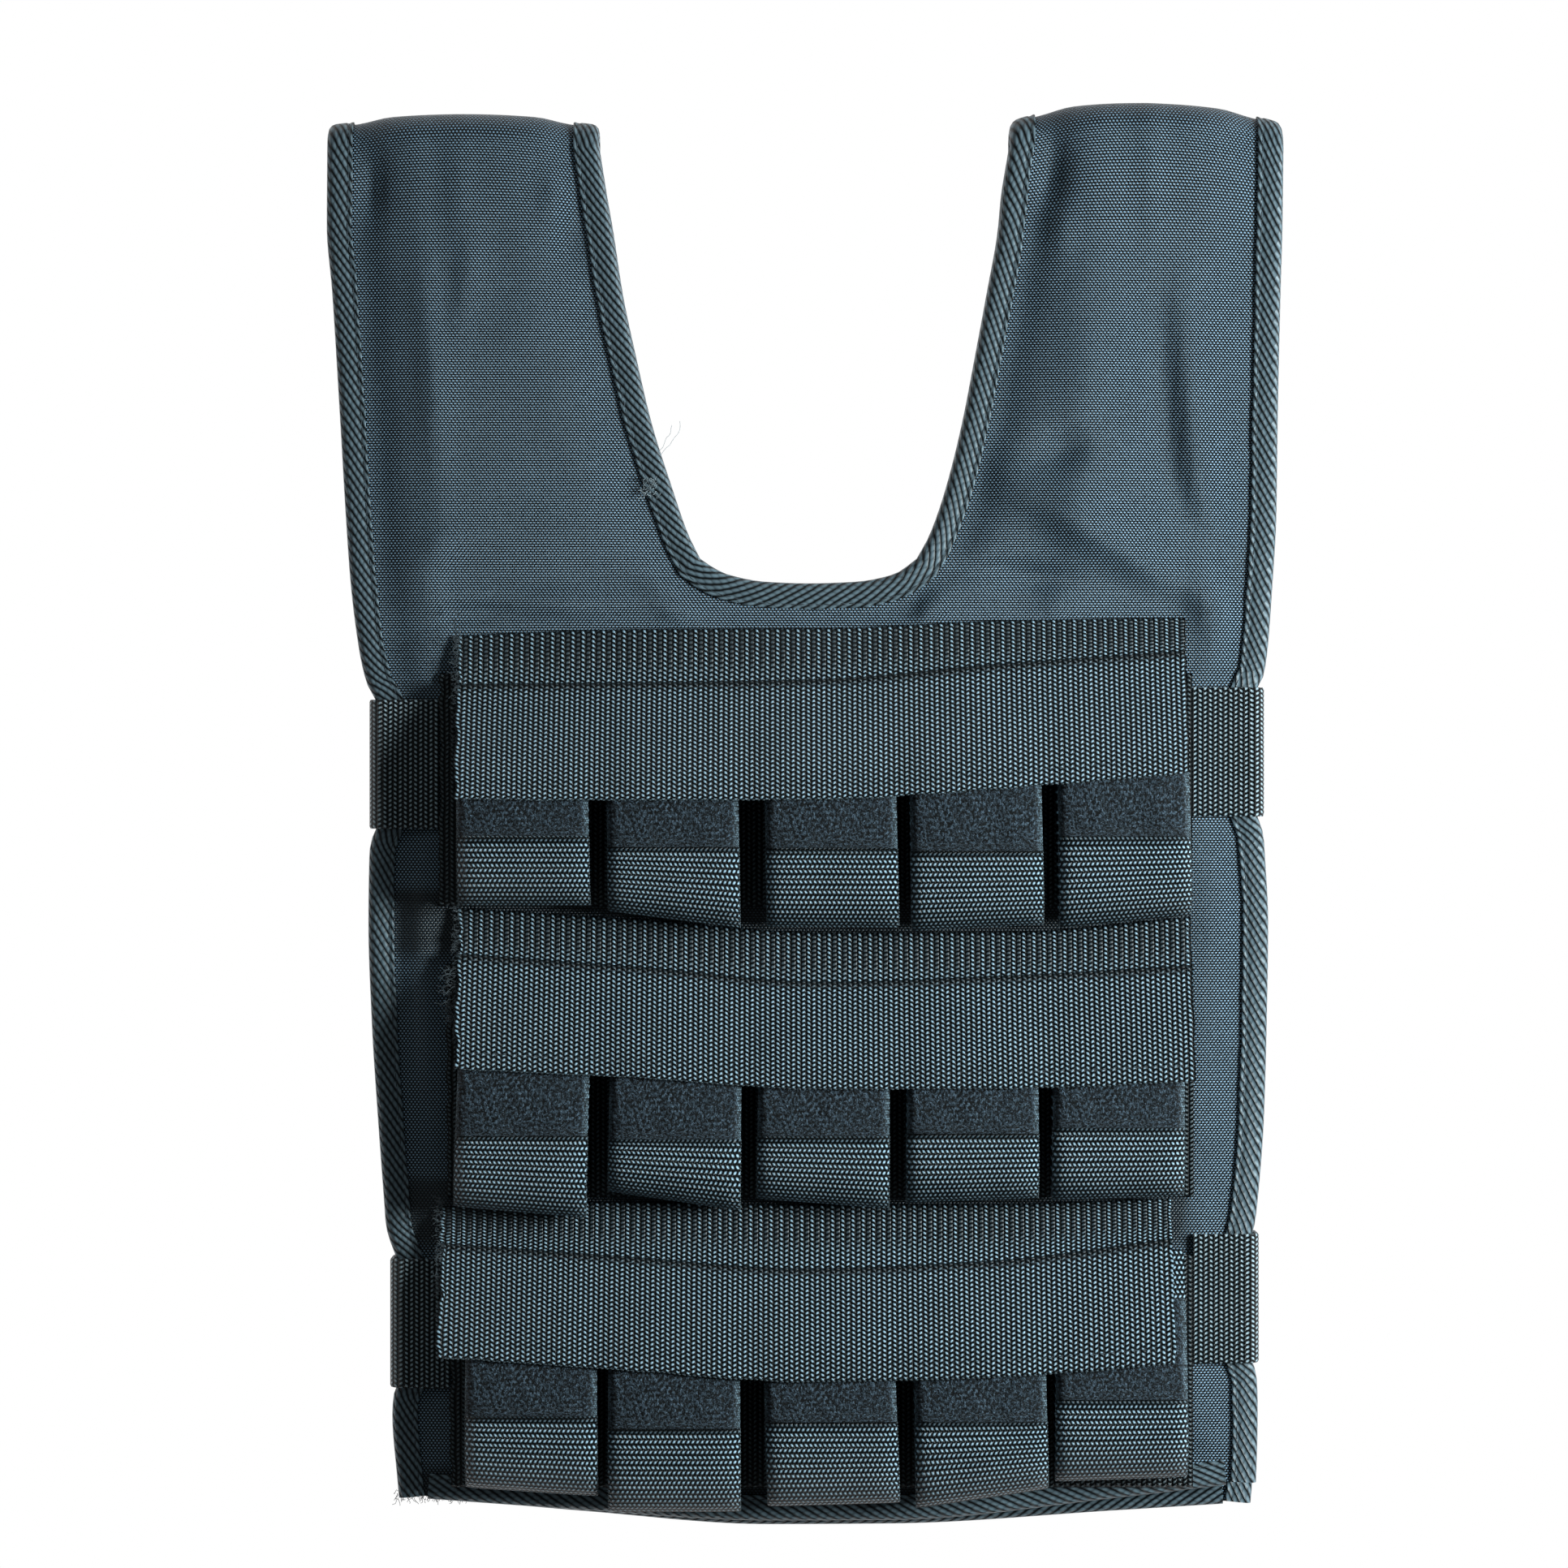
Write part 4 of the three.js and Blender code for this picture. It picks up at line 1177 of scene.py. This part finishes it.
# Cut ends of a flap: how far in they run ragged, as shares of its width
FLAP_SHARES = (0, 0.0012, 0.003, 0.006, 0.009, 0.012)
FLAP_COLUMNS = 120
RAGGED_LEFT = 0.012
RAGGED_RIGHT = 0.008
GAP_HALF = 8


def gap_dips(x):
    """1 where the space between two pouches lies, falling to 0 beside it."""
    return max(bell((x - pouch_centre(k + 0.5)) / GAP_HALF) for k in range(len(POUCHES[0]) - 1))


def flap_down(row, x, share, strip):
    """Distance down of a place on the flap. share runs from 0 to 1 over the strip."""
    top, seam, edge = (line_down(row, x, column) for column in ("top", "seam", "edge"))
    if strip == "hinge":
        return mix(top, seam + BAND_LAP, share)
    return mix(seam, edge, share)


def flap_end_shift(row, x_share, w, strip):
    """Sideways run of the flap's cut ends, ragged at the left."""
    left = clamp(1 - x_share / RAGGED_LEFT)
    right = clamp(1 - (1 - x_share) / RAGGED_RIGHT)
    seed = row * 3.3 + (strip == "band")
    return right * ragged(w, seed + 8, 1.0) - left * ragged(w, seed, 2.4)


def flap_surface(row, x_share, share, strip, lift, sizes):
    """A point of a flap's strip, at shares of its width and drop."""
    left, right = flap_span(row)
    x = mix(left, right, x_share)
    down = flap_down(row, x, share, strip)
    if strip == "band":
        sag = sizes.flap_sag * gap_dips(x) * smooth(share * 1.2)
        groove = 0.45 * bell((flap_down(row, x, 1, strip) - down - STITCH_RISE) / 0.7)
        groove += 0.5 * bell((down - flap_down(row, x, 0, strip) - BAND_STITCH) / 0.8)
        lift += -sag - groove + 0.35 * drift(x, down, 30, row + 0.4) * smooth(share * 2)
        down += 0.5 * drift(x, 0, 12, row + 6.1) * smooth(share * 4 - 3)
    point = row_top(row, x, down, lift)
    point.x += flap_end_shift(row, x_share, down, strip)
    return point


def build_flap_strip(row, strip, material, sizes):
    base = GAP if strip == "hinge" else GAP + WEBBING_LAYER
    inner = spread(FLAP_SHARES[-1], 1 - FLAP_SHARES[-1], FLAP_COLUMNS)[1:-1]
    xs = [*FLAP_SHARES, *inner, *(1 - share for share in reversed(FLAP_SHARES))]
    left, right = flap_span(row)
    wide = right - left
    middle = (left + right) / 2
    long = flap_down(row, middle, 1, strip) - flap_down(row, middle, 0, strip)
    downs = stops(long, 1.2)
    line = [row_top(row, middle, flap_down(row, middle, w / long, strip), 0) for w in downs]
    along = dict(zip(downs, lengths(line)))

    def place(x_share, w, face):
        lift = base + (WEBBING_THICKNESS * rim(w, long) if face > 0 else 0)
        point = flap_surface(row, x_share, w / long, strip, lift, sizes)
        # Painted shade on the band: darker at its top edge, where it laps the hinge, and along its two
        # stitch grooves; on the hinge the third value is the banding share instead
        seams = 0.6 * bell((w - BAND_STITCH) / 0.5) + 0.4 * bell((long - w - STITCH_RISE) / 0.5)
        shade = smooth(2.2 - along[w] / 10) if strip == "hinge" else -clamp(0.9 * smooth(2 - w) + seams)
        return point, (x_share * wide, along[w], shade)

    flap = slab(f"row_{row + 1}_flap_{strip}_webbing", material, xs, downs, place)
    along[long] * MM
    wide * MM
    return flap


def pouch_facts(row, place):
    return dict(zip(POUCH_NAMES, POUCHES[row][place]))


def pouch_table(row, place, across):
    """The pouch's profile at a share of its width, read by stop number."""
    facts = pouch_facts(row, place)
    seam = line_down(row, pouch_centre(place), "seam")
    edge = row_down(row) + facts["patch"] * POUCH_DROP
    foot = row_down(row) + POUCH_DROP * mix(facts["left"], facts["right"], across)
    spans = {"top": (seam + POUCH_COVER, 0), "patch": (seam + PATCH_COVER, edge), "foot": (edge, foot)}
    rows = [(mix(*spans[span], share), front, under) for span, share, front, under in POUCH_STOPS]
    table = Table("stop down front under", *((k, *row) for k, row in enumerate(rows)))
    return table, spans["top"][0], foot


def pouch_spot(row, place, across, stop, face, lift=0.0, table=None):
    """A point on a pouch's front or underside in millimetres."""
    found, top, foot = table or pouch_table(row, place, across)
    down = found.read(stop, "down")
    facts = pouch_facts(row, place)
    shift = mix(facts["top"], facts["foot"], (down - top) / (foot - top)) * POUCH_PITCH
    x = pouch_centre(place) + shift + (across - 0.5) * POUCH_WIDTH
    below = down - line_down(row, x, "top")
    if face > 0:
        share = POUCH_SIDES.read(across, "front") * found.read(stop, "front")
        soft = 0.5 * drift(x, down, 13, row + 7) * bell((across - 0.5) * 2.2)
        z = bed(below) + fill(below) * share + lift + soft
    else:
        z = PANEL_TOP + GAP + WEBBING_LAYER + found.read(stop, "under") * POUCH_DEPTH
    return Vector((x, FOLD_Y - down, z))


def fine_stops(first, last, per_stop):
    count = (last - first) * per_stop
    return [first + k / per_stop for k in range(count + 1)]


# Length over which painted shade darkens the pouch towards its foot, in mm
FOOT_SHADE = 16


def build_pouch(row, place, material):
    sides = [w / POUCH_WIDTH for w in stops(POUCH_WIDTH, 2.6, (0, 0.4, 1.2))]
    levels = fine_stops(0, len(POUCH_STOPS) - 1, 6)
    tables = {across: pouch_table(row, place, across) for across in sides}
    middle = pouch_table(row, place, 0.5)
    line = lengths([pouch_spot(row, place, 0.5, stop, 1, 0, middle) for stop in levels])
    along = dict(zip(levels, line))
    patch_end = along[PATCH_TO] + 0.8

    def spot(across, stop, face):
        point = pouch_spot(row, place, across, stop, face, 0, tables[across])
        edge = min(across, 1 - across) * POUCH_WIDTH
        point.z -= 0.5 * clamp(1 - edge / 0.8) if face > 0 else 0
        # Painted shadow just below the patch's lower edge, and painted shade over the foot where the pouch
        # rolls under
        painted_patch_shadow = 0.75 * bell((along[stop] - patch_end) / 1.6)
        foot = 0.55 * smooth((along[stop] - line[-1] + FOOT_SHADE) / FOOT_SHADE)
        return point, (along[stop], across * POUCH_WIDTH, -max(painted_patch_shadow, foot))

    pouch = slab(f"row_{row + 1}_pouch_{place + 1}_webbing", material, sides, levels, spot)
    return pouch


PILE_STEP = 0.9


def build_patch(row, place, material):
    seam = line_down(row, pouch_centre(place), "seam")
    edge = row_down(row) + pouch_facts(row, place)["patch"] * POUCH_DROP
    flap_edge = line_down(row, pouch_centre(place), "edge")
    long = edge - seam - PATCH_COVER
    shown = clamp(edge - flap_edge + 6, 8, long - 4)
    hidden = [long - shown - 4 * k for k in range(1, int((long - shown) / 4))][::-1]
    seen = [long - shown + w for w in stops(shown, PILE_STEP, (0, 0.4))[:-2]]
    downs = [0, *hidden, *seen, long - 0.4, long]
    sides = [w / POUCH_WIDTH for w in stops(POUCH_WIDTH, PILE_STEP, (0, 0.4))]
    tables = {across: pouch_table(row, place, across) for across in sides}

    def spot(across, w, face):
        stop = PATCH_FROM + (PATCH_TO - PATCH_FROM) * w / long
        x = across * POUCH_WIDTH
        edge_near = min(across, 1 - across) * POUCH_WIDTH
        selvedge = smooth(1.6 - (1 - across) * POUCH_WIDTH / 1.5) + 0.7 * smooth(1.3 - x)
        low = clamp(min(edge_near, long - w) / 0.8)
        lift = GAP
        if face > 0:
            pile = 0.45 * drift(x, w, 1.9, row * 5 + place) + 0.35 * drift(across * 50, w, 6, 4.2)
            seam_dip = 0.5 * bell((long - w - PATCH_STITCH) / 1.2)
            pile_height = (PATCH_THICKNESS * 0.75 + pile - seam_dip) * (1 - 0.55 * clamp(selvedge))
            lift += max(0.4, pile_height) * mix(0.5, 1, low)
        point = pouch_spot(row, place, across, stop, 1, lift, tables[across])
        point.y -= 0.35 * drift(x, 0, 1.3, row + place) * clamp(1 - (long - w) / 0.5)
        return point, (x, w, clamp(selvedge))

    name = f"row_{row + 1}_patch_{place + 1}_pile"
    patch = slab(name, material, sides, downs, spot)
    under = f"row_{row + 1}_pouch_{place + 1}"
    long * MM
    return patch


class Seam:
    """Stitches, each a slim closed grain of thread, gathered into one mesh."""

    def __init__(self, radius):
        grain = bmesh.new()
        bmesh.ops.create_uvsphere(grain, u_segments=6, v_segments=4, radius=1)
        self.grain = [vert.co.copy() for vert in grain.verts]
        self.faces = [[vert.index for vert in face.verts] for face in grain.faces]
        grain.free()
        self.radius = radius
        self.all_points = []
        self.all_faces = []

    def stitch(self, start, end, lift):
        along = (end - start) / 2
        size = Matrix.Diagonal((self.radius, self.radius, along.length))
        turn = along.to_track_quat("Z", "Y").to_matrix() @ size
        middle = (start + end) / 2 + Vector((0, 0, lift))
        first = len(self.all_points)
        self.all_points += [turn @ point + middle for point in self.grain]
        self.all_faces += [[first + n for n in face] for face in self.faces]

    def line(self, points, pitch, share=0.78, lift=0.0):
        """A row of stitches along a run of points in millimetres."""
        along = lengths(points)

        def spot(distance):
            k = next((n for n in range(1, len(along)) if along[n] >= distance), len(along) - 1)
            step = along[k] - along[k - 1]
            return points[k - 1].lerp(points[k], (distance - along[k - 1]) / step if step else 0)

        for n in range(max(1, int(along[-1] / pitch))):
            start = (n + (1 - share) / 2) * pitch
            self.stitch(spot(start), spot(start + pitch * share), lift)

    def done(self, name, material):
        mesh = bpy.data.meshes.new(name)
        mesh.from_pydata([point * MM for point in self.all_points], [], self.all_faces)
        bm = bmesh.new()
        bm.from_mesh(mesh)
        bpy.data.meshes.remove(mesh)
        return finish_mesh(bm, name, material, smooth_angle=180)


# Seams: place across the tape, steps along a flap, pitch on a patch, and the loops' pitch, length and depth
TAPE_SEAM = 0.85
SEAM_STEPS = 96
PATCH_PITCH = 2.6
LOOP_PITCH = 1.3
LOOP_SHARE = 0.7
LOOP_SUNK = 0.5


def tape_stitches(seam, sizes):
    """The seam along the inner edge of every tape, on its outer side."""
    for _, path, _ in tape_runs():
        for face in ("front", "back"):
            line = [tape_point(station, TAPE_SEAM, 1) for station in path if station[0] == face]
            if len(line) > 1:
                seam.line(line, sizes.stitch)


def flap_stitches(seam, sizes):
    """The seam over the lower edge of every flap, and the one along the top of its band."""
    lift = GAP + WEBBING_LAYER + WEBBING_THICKNESS
    for row in range(len(POUCHES)):
        left, right = flap_span(row)
        for rise in (STITCH_RISE, None):
            points = []
            for x_share in spread(0.015, 0.985, SEAM_STEPS):
                x = mix(left, right, x_share)
                long = flap_down(row, x, 1, "band") - flap_down(row, x, 0, "band")
                share = 1 - rise / long if rise else BAND_STITCH / long
                points.append(flap_surface(row, x_share, share, "band", lift, sizes))
            seam.line(points, sizes.stitch)


def patch_stitches(seam):
    """The seam near the lower edge of every loop patch."""
    for row, place in PLACES:
        top = line_down(row, pouch_centre(place), "seam") + PATCH_COVER
        edge = row_down(row) + pouch_facts(row, place)["patch"] * POUCH_DROP
        stop = PATCH_FROM + (PATCH_TO - PATCH_FROM) * (1 - PATCH_STITCH / (edge - top))
        shares = spread(0.03, 0.97, 12)
        line = [pouch_spot(row, place, across, stop, 1, GAP + PATCH_THICKNESS / 2) for across in shares]
        seam.line(line, PATCH_PITCH)


def edge_loops(seam, sizes):
    """The small loops of weft along the lower edge of every flap and the sides of every pouch."""
    lift = GAP + WEBBING_LAYER + 0.55 * WEBBING_THICKNESS
    for row, pouches in enumerate(POUCHES):
        shares = spread(0.01, 0.99, SEAM_STEPS)
        line = [flap_surface(row, share, 1, "band", lift, sizes) for share in shares]
        seam.line(line, sizes.chain, LOOP_SHARE)
        for place in range(len(pouches)):
            for across in (0, 1):
                table = pouch_table(row, place, across)
                levels = fine_stops(PATCH_TO, len(POUCH_STOPS) - 1, 3)
                line = [pouch_spot(row, place, across, stop, 1, -LOOP_SUNK, table) for stop in levels]
                seam.line(line, LOOP_PITCH, LOOP_SHARE)


def build_stitches(sizes, colours):
    material = thread_finish("sewing_thread", colours.thread)
    loops = Seam(sizes.loop)
    edge_loops(loops, sizes)
    loops.done("webbing_edge_loops", thread_finish("edge_loops", colours.strap))
    seams = {name: Seam(sizes.thread) for name in ("tape", "flap", "patch")}
    tape_stitches(seams["tape"], sizes)
    flap_stitches(seams["flap"], sizes)
    patch_stitches(seams["patch"])
    for name, seam in seams.items():
        seam.done(f"{name}_stitches", material)


FLOOR_ROOM = 0.25


def fibre(draw, start, heading, length, curl, steps=6):
    """Points of one loose fibre that wanders from its start and stays off the floor."""
    points = [Vector(start)]
    way = Vector(heading).normalized()
    for _ in range(steps):
        sway = [draw.uniform(-curl, curl) for _ in range(3)]
        way = way + Vector((sway[0], sway[1], sway[2] / 2))
        way.normalize()
        points.append(points[-1] + way * length / steps)
    for point in points:
        point.z = max(point.z, FLOOR_ROOM)
    return points


def build_fibres(name, runs, radius, material):
    """Loose fibres as thin tubes, made from one curve with many runs."""
    curve = bpy.data.curves.new(name, "CURVE")
    curve.dimensions = "3D"
    curve.bevel_depth = radius * MM
    curve.bevel_resolution = 0
    curve.resolution_u = 2
    for points in runs:
        spline = curve.splines.new("POLY")
        spline.points.add(len(points) - 1)
        for point, place in zip(spline.points, points):
            point.co = (*(place * MM), 1)
    source = add_object(name, curve)
    mesh = bpy.data.meshes.new_from_object(source.evaluated_get(bpy.context.evaluated_depsgraph_get()))
    bpy.data.objects.remove(source)
    bpy.data.curves.remove(curve)
    mesh.name = name
    mesh.materials.clear()
    mesh.materials.append(material)
    piece = add_object(name, mesh)
    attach(piece, "root")
    return piece


# Frayed places: middle, room round it, height over the floor, heading, fibres and their longest length
FRAYS = (
    ("hem_fray", (-146, -266), (14, 2), 3, (0, -1, 0), 110, 3.6),
    ("hem_corner_fray", (-153, -262), (4, 3), 6, (-0.5, -1, 0), 40, 3.5),
    ("flap_2_fray", (-135.5, -70), (1.5, 11), 33, (-1, -0.2, 0), 60, 7),
    ("flap_1_fray", (-134, 45), (1.4, 24), 31, (-1, -0.1, 0), 150, 3.5),
    ("flap_1_top_fray", (-134, 71), (1.4, 8), 25, (-1, 0.3, 0), 50, 3.5),
    ("flap_2_end_fray", (-134, -62), (1.4, 26), 29, (-1, 0.1, 0), 150, 3.2),
    ("flap_3_fray", (-140.5, -172), (1.4, 24), 30, (-1, 0, 0), 150, 3.5),
    ("flap_right_fray", (147, -60), (1.2, 22), 29, (1, 0, 0), 60, 2.5),
    ("neck_knot", (-60.5, 126), (3, 3.5), 20, (0.3, 0.3, 0.6), 60, 4),
)

# Loose threads at the neck: start, heading, length and curl
LOOSE_THREADS = (
    ((-57, 140, 18), (0.8, 0.9, 0.1), 13, 0.5),
    ((-56, 139, 18), (0.2, 1, 0.2), 16, 0.4),
)
FRAY_DEPTH = 1.5
FRAY_CURL = 0.75
FIBRE_RADIUS = 0.09
LOOSE_RADIUS = 0.08


def build_frays(colours):
    dark = thread_finish("loose_fibre", colours.fibre, 0.7)
    pale = thread_finish("worn_fibre", colours.worn, 0.8)
    for number, (name, middle, room, z, heading, count, longest) in enumerate(FRAYS):
        draw = random.Random(number + 11)
        runs = []
        for _ in range(count):
            around = zip((*middle, z), (*room, FRAY_DEPTH))
            start = [at + draw.uniform(-1, 1) * half for at, half in around]
            runs.append(fibre(draw, start, heading, draw.uniform(0.35, 1) * longest, FRAY_CURL))
        build_fibres(name, runs, FIBRE_RADIUS, pale if name == "neck_knot" else dark)
    draw = random.Random(5)
    loose = [fibre(draw, *thread, 9) for thread in LOOSE_THREADS]
    build_fibres("neck_loose_threads", loose, LOOSE_RADIUS, pale)


def floor_finish(colours):
    material = bpy.data.materials.new("floor")
    material.use_nodes = True
    shader = material.node_tree.nodes["Principled BSDF"]
    shader.inputs["Base Color"].default_value = (0, 0, 0, 1)
    shader.inputs["Roughness"].default_value = 1
    shader.inputs["Specular IOR Level"].default_value = 0
    shader.inputs["Emission Color"].default_value = (*colours.floor, 1)
    shader.inputs["Emission Strength"].default_value = 1
    return material


# Lights: place and side in metres
LIGHTS = {"key": ((1.15, 0.05, 0.68), 0.4), "back": ((-0.6, 1.2, 0.9), 0.8)}
LIGHT_COLOUR = (0.82, 0.96, 1)
ROOM_COLOUR = (0.85, 0.96, 1, 1)
FLOOR_DROP = 0.3
CLIP_END = 20


def add_light(name, energy):
    """A square soft light, aimed at the middle of the vest."""
    place, size = LIGHTS[name]
    light = bpy.data.lights.new(name, "AREA")
    light.energy = energy
    light.color = LIGHT_COLOUR
    light.size = size
    lamp = add_object(name, light)
    lamp.location = place
    lamp.rotation_euler = (-Vector(place)).to_track_quat("-Z", "Y").to_euler()


def build_stage(stage, colours):
    scene = bpy.context.scene
    bm = bmesh.new()
    bmesh.ops.create_grid(bm, x_segments=1, y_segments=1, size=stage.floor_size / 2)
    bmesh.ops.translate(bm, verts=bm.verts[:], vec=(0, 0, -FLOOR_DROP * MM))
    mesh = bpy.data.meshes.new("floor")
    bm.to_mesh(mesh)
    bm.free()
    mesh.materials.append(floor_finish(colours))
    floor = add_object("floor", mesh)

    world = bpy.data.worlds.new("studio")
    world.use_nodes = True
    background = world.node_tree.nodes["Background"]
    background.inputs["Color"].default_value = ROOM_COLOUR
    background.inputs["Strength"].default_value = stage.fill
    scene.world = world
    scene.view_settings.view_transform = "Standard"

    add_light("key", stage.key)
    add_light("back", stage.back)

    camera = bpy.data.cameras.new("camera")
    camera.lens = CAMERA_LENS
    camera.clip_end = CLIP_END
    scene.camera = add_object("camera", camera)
    scene.camera.location = Vector((*CAMERA_AIM, CAMERA_HEIGHT)) * MM


def size_property(name, description, default):
    return FloatProperty(name=name, description=f"{description}, in mm", default=default, min=0)


class VestSizes(PropertyGroup):
    """Sizes of the soft details."""

    puff: size_property("Puff", "How far the padding stands out", 2.6)
    fold_depth: FloatProperty(name="Fold depth", description="Depth of the folds, as a share", default=1.8)
    flap_sag: size_property("Flap sag", "Sag of the flaps between pouches", 0.9)
    cloth_row: size_property("Cloth row", "Pitch of the cloth's rows", 0.98)
    cloth_thread: size_property("Cloth thread", "Pitch along a row of the cloth", 1.42)
    twill_rib: size_property("Twill rib", "Pitch of the tape's ribs", 2.05)
    chain: size_property("Chain", "Pitch of the webbing's chains", 1.98)
    knot: size_property("Knot", "Pitch of the knots in a chain", 1.8)
    stitch: size_property("Stitch", "Pitch of the stitches", 3.2)
    loop: size_property("Edge loop", "Radius of the webbing's edge loops", 0.32)
    thread: size_property("Thread", "Radius of the sewing thread", 0.22)


def colour_property(name, description, default):
    return FloatVectorProperty(
        name=name, description=description, subtype="COLOR", default=default, min=0, max=1
    )


class VestColours(PropertyGroup):
    """Middle colours of the finishes."""

    cloth: colour_property("Cloth", "Padded shell", (0.032, 0.062, 0.09))
    tape: colour_property("Tape", "Binding tape", (0.022, 0.034, 0.041))
    webbing: colour_property("Webbing", "Flaps and pouches", (0.052, 0.086, 0.108))
    strap: colour_property("Strap", "Side straps and backings", (0.05, 0.07, 0.08))
    loop: colour_property("Loop", "Loop patches", (0.014, 0.025, 0.036))
    thread: colour_property("Thread", "Stitches", (0.03, 0.04, 0.05))
    fibre: colour_property("Fibre", "Frayed fibres", (0.05, 0.065, 0.075))
    worn: colour_property("Worn", "Worn pale fibres", (0.4, 0.45, 0.47))
    floor: colour_property("Floor", "Floor", (1.0, 1.0, 1.0))


class VestStage(PropertyGroup):
    """Floor and lights."""

    floor_size: FloatProperty(name="Floor size", description="Side of the floor", default=12, unit="LENGTH")
    key: FloatProperty(name="Key light", description="Power of the key light, in watts", default=27)
    back: FloatProperty(name="Back light", description="Power of the light behind, in watts", default=1.5)
    fill: FloatProperty(name="Fill", description="Strength of the room's light", default=0.1)


class VEST_OT_stage(Operator):
    """Add the floor, the lights and the camera"""

    bl_idname = "vest.stage"
    bl_label = "Stage"

    def execute(self, context):
        build_stage(context.scene.vest_stage, context.scene.vest_colours)
        return {"FINISHED"}


class VEST_OT_shell(Operator):
    """Build the padded cloth shell"""

    bl_idname = "vest.shell"
    bl_label = "Shell"

    def execute(self, context):
        sizes = context.scene.vest_sizes
        build_shell(sizes, cloth_finish(sizes, context.scene.vest_colours))
        return {"FINISHED"}


class VEST_OT_tapes(Operator):
    """Fold the binding tapes round the edges"""

    bl_idname = "vest.tapes"
    bl_label = "Binding tapes"

    def execute(self, context):
        material = tape_finish(context.scene.vest_sizes, context.scene.vest_colours)
        for name, path, loop in tape_runs():
            way = -1 if name == "side_binding_right" else 1
            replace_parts(build_tape(f"{name}_tape", material, path, loop, way), name)
        return {"FINISHED"}


class VEST_OT_straps(Operator):
    """Lay the side straps and the rows' backings"""

    bl_idname = "vest.straps"
    bl_label = "Straps and backings"

    def execute(self, context):
        sizes, strap = context.scene.vest_sizes, context.scene.vest_colours.strap
        material = webbing_finish("strap_webbing", sizes, strap)
        for name in SIDE_STRAPS:
            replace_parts(build_side_strap(name, material), name)
        # A darker copy of the strap webbing for the backings: painted shade, since they lie under the flaps
        # and pouches
        hidden = webbing_finish("backing_webbing", sizes, [c * BACKING_SHADE_SHARE for c in strap])
        for row in range(len(POUCHES)):
            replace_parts(build_backing(row, hidden), f"row_{row + 1}_backing")
        return {"FINISHED"}


class VEST_OT_flaps(Operator):
    """Lay the two strips of every flap"""

    bl_idname = "vest.flaps"
    bl_label = "Flaps"

    def execute(self, context):
        sizes, colours = context.scene.vest_sizes, context.scene.vest_colours
        materials = {
            "hinge": webbing_finish("hinge_webbing", sizes, colours.webbing, 0.85),
            "band": webbing_finish("flap_webbing", sizes, colours.webbing),
        }
        for row in range(len(POUCHES)):
            for strip, material in materials.items():
                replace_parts(build_flap_strip(row, strip, material, sizes), f"row_{row + 1}_flap_{strip}")
        return {"FINISHED"}


class VEST_OT_pouches(Operator):
    """Build the filled pouches and their loop patches"""

    bl_idname = "vest.pouches"
    bl_label = "Pouches and loop patches"

    def execute(self, context):
        sizes, colours = context.scene.vest_sizes, context.scene.vest_colours
        webbing = webbing_finish("pouch_webbing", sizes, colours.webbing)
        loops = loop_finish(colours)
        for row, place in PLACES:
            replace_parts(build_pouch(row, place, webbing), f"row_{row + 1}_pouch_{place + 1}")
            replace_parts(build_patch(row, place, loops), f"row_{row + 1}_patch_{place + 1}")
        return {"FINISHED"}


class VEST_OT_stitches(Operator):
    """Sew the seams, stitch by stitch"""

    bl_idname = "vest.stitches"
    bl_label = "Stitches"

    def execute(self, context):
        build_stitches(context.scene.vest_sizes, context.scene.vest_colours)
        return {"FINISHED"}


class VEST_OT_frays(Operator):
    """Add the frayed ends and loose threads"""

    bl_idname = "vest.frays"
    bl_label = "Frays"

    def execute(self, context):
        build_frays(context.scene.vest_colours)
        return {"FINISHED"}


STEPS = (
    VEST_OT_stage,
    VEST_OT_shell,
    VEST_OT_tapes,
    VEST_OT_straps,
    VEST_OT_pouches,
    VEST_OT_flaps,
    VEST_OT_stitches,
    VEST_OT_frays,
)


class VEST_PT_panel(Panel):
    """Lists the steps that build the vest"""

    bl_idname = "VEST_PT_panel"
    bl_label = "Weighted vest"
    bl_space_type = "VIEW_3D"
    bl_region_type = "UI"
    bl_category = "Vest"

    def draw(self, context):
        for group in (context.scene.vest_sizes, context.scene.vest_colours, context.scene.vest_stage):
            box = self.layout.box()
            for name in group.__annotations__:
                box.prop(group, name)
        for step in STEPS:
            self.layout.operator(step.bl_idname)


CLASSES = (VestSizes, VestColours, VestStage, *STEPS, VEST_PT_panel)


def register():
    for item in CLASSES:
        bpy.utils.register_class(item)
    bpy.types.Scene.vest_sizes = PointerProperty(type=VestSizes)
    bpy.types.Scene.vest_colours = PointerProperty(type=VestColours)
    bpy.types.Scene.vest_stage = PointerProperty(type=VestStage)


def unregister():
    for name in ("vest_stage", "vest_colours", "vest_sizes"):
        delattr(bpy.types.Scene, name)
    for item in reversed(CLASSES):
        bpy.utils.unregister_class(item)


def main():
    register()
    bpy.ops.vest.stage()
    bpy.ops.vest.shell()
    bpy.ops.vest.tapes()
    bpy.ops.vest.straps()
    bpy.ops.vest.pouches()
    bpy.ops.vest.flaps()
    bpy.ops.vest.stitches()
    bpy.ops.vest.frays()


if __name__ == "__main__":
    main()
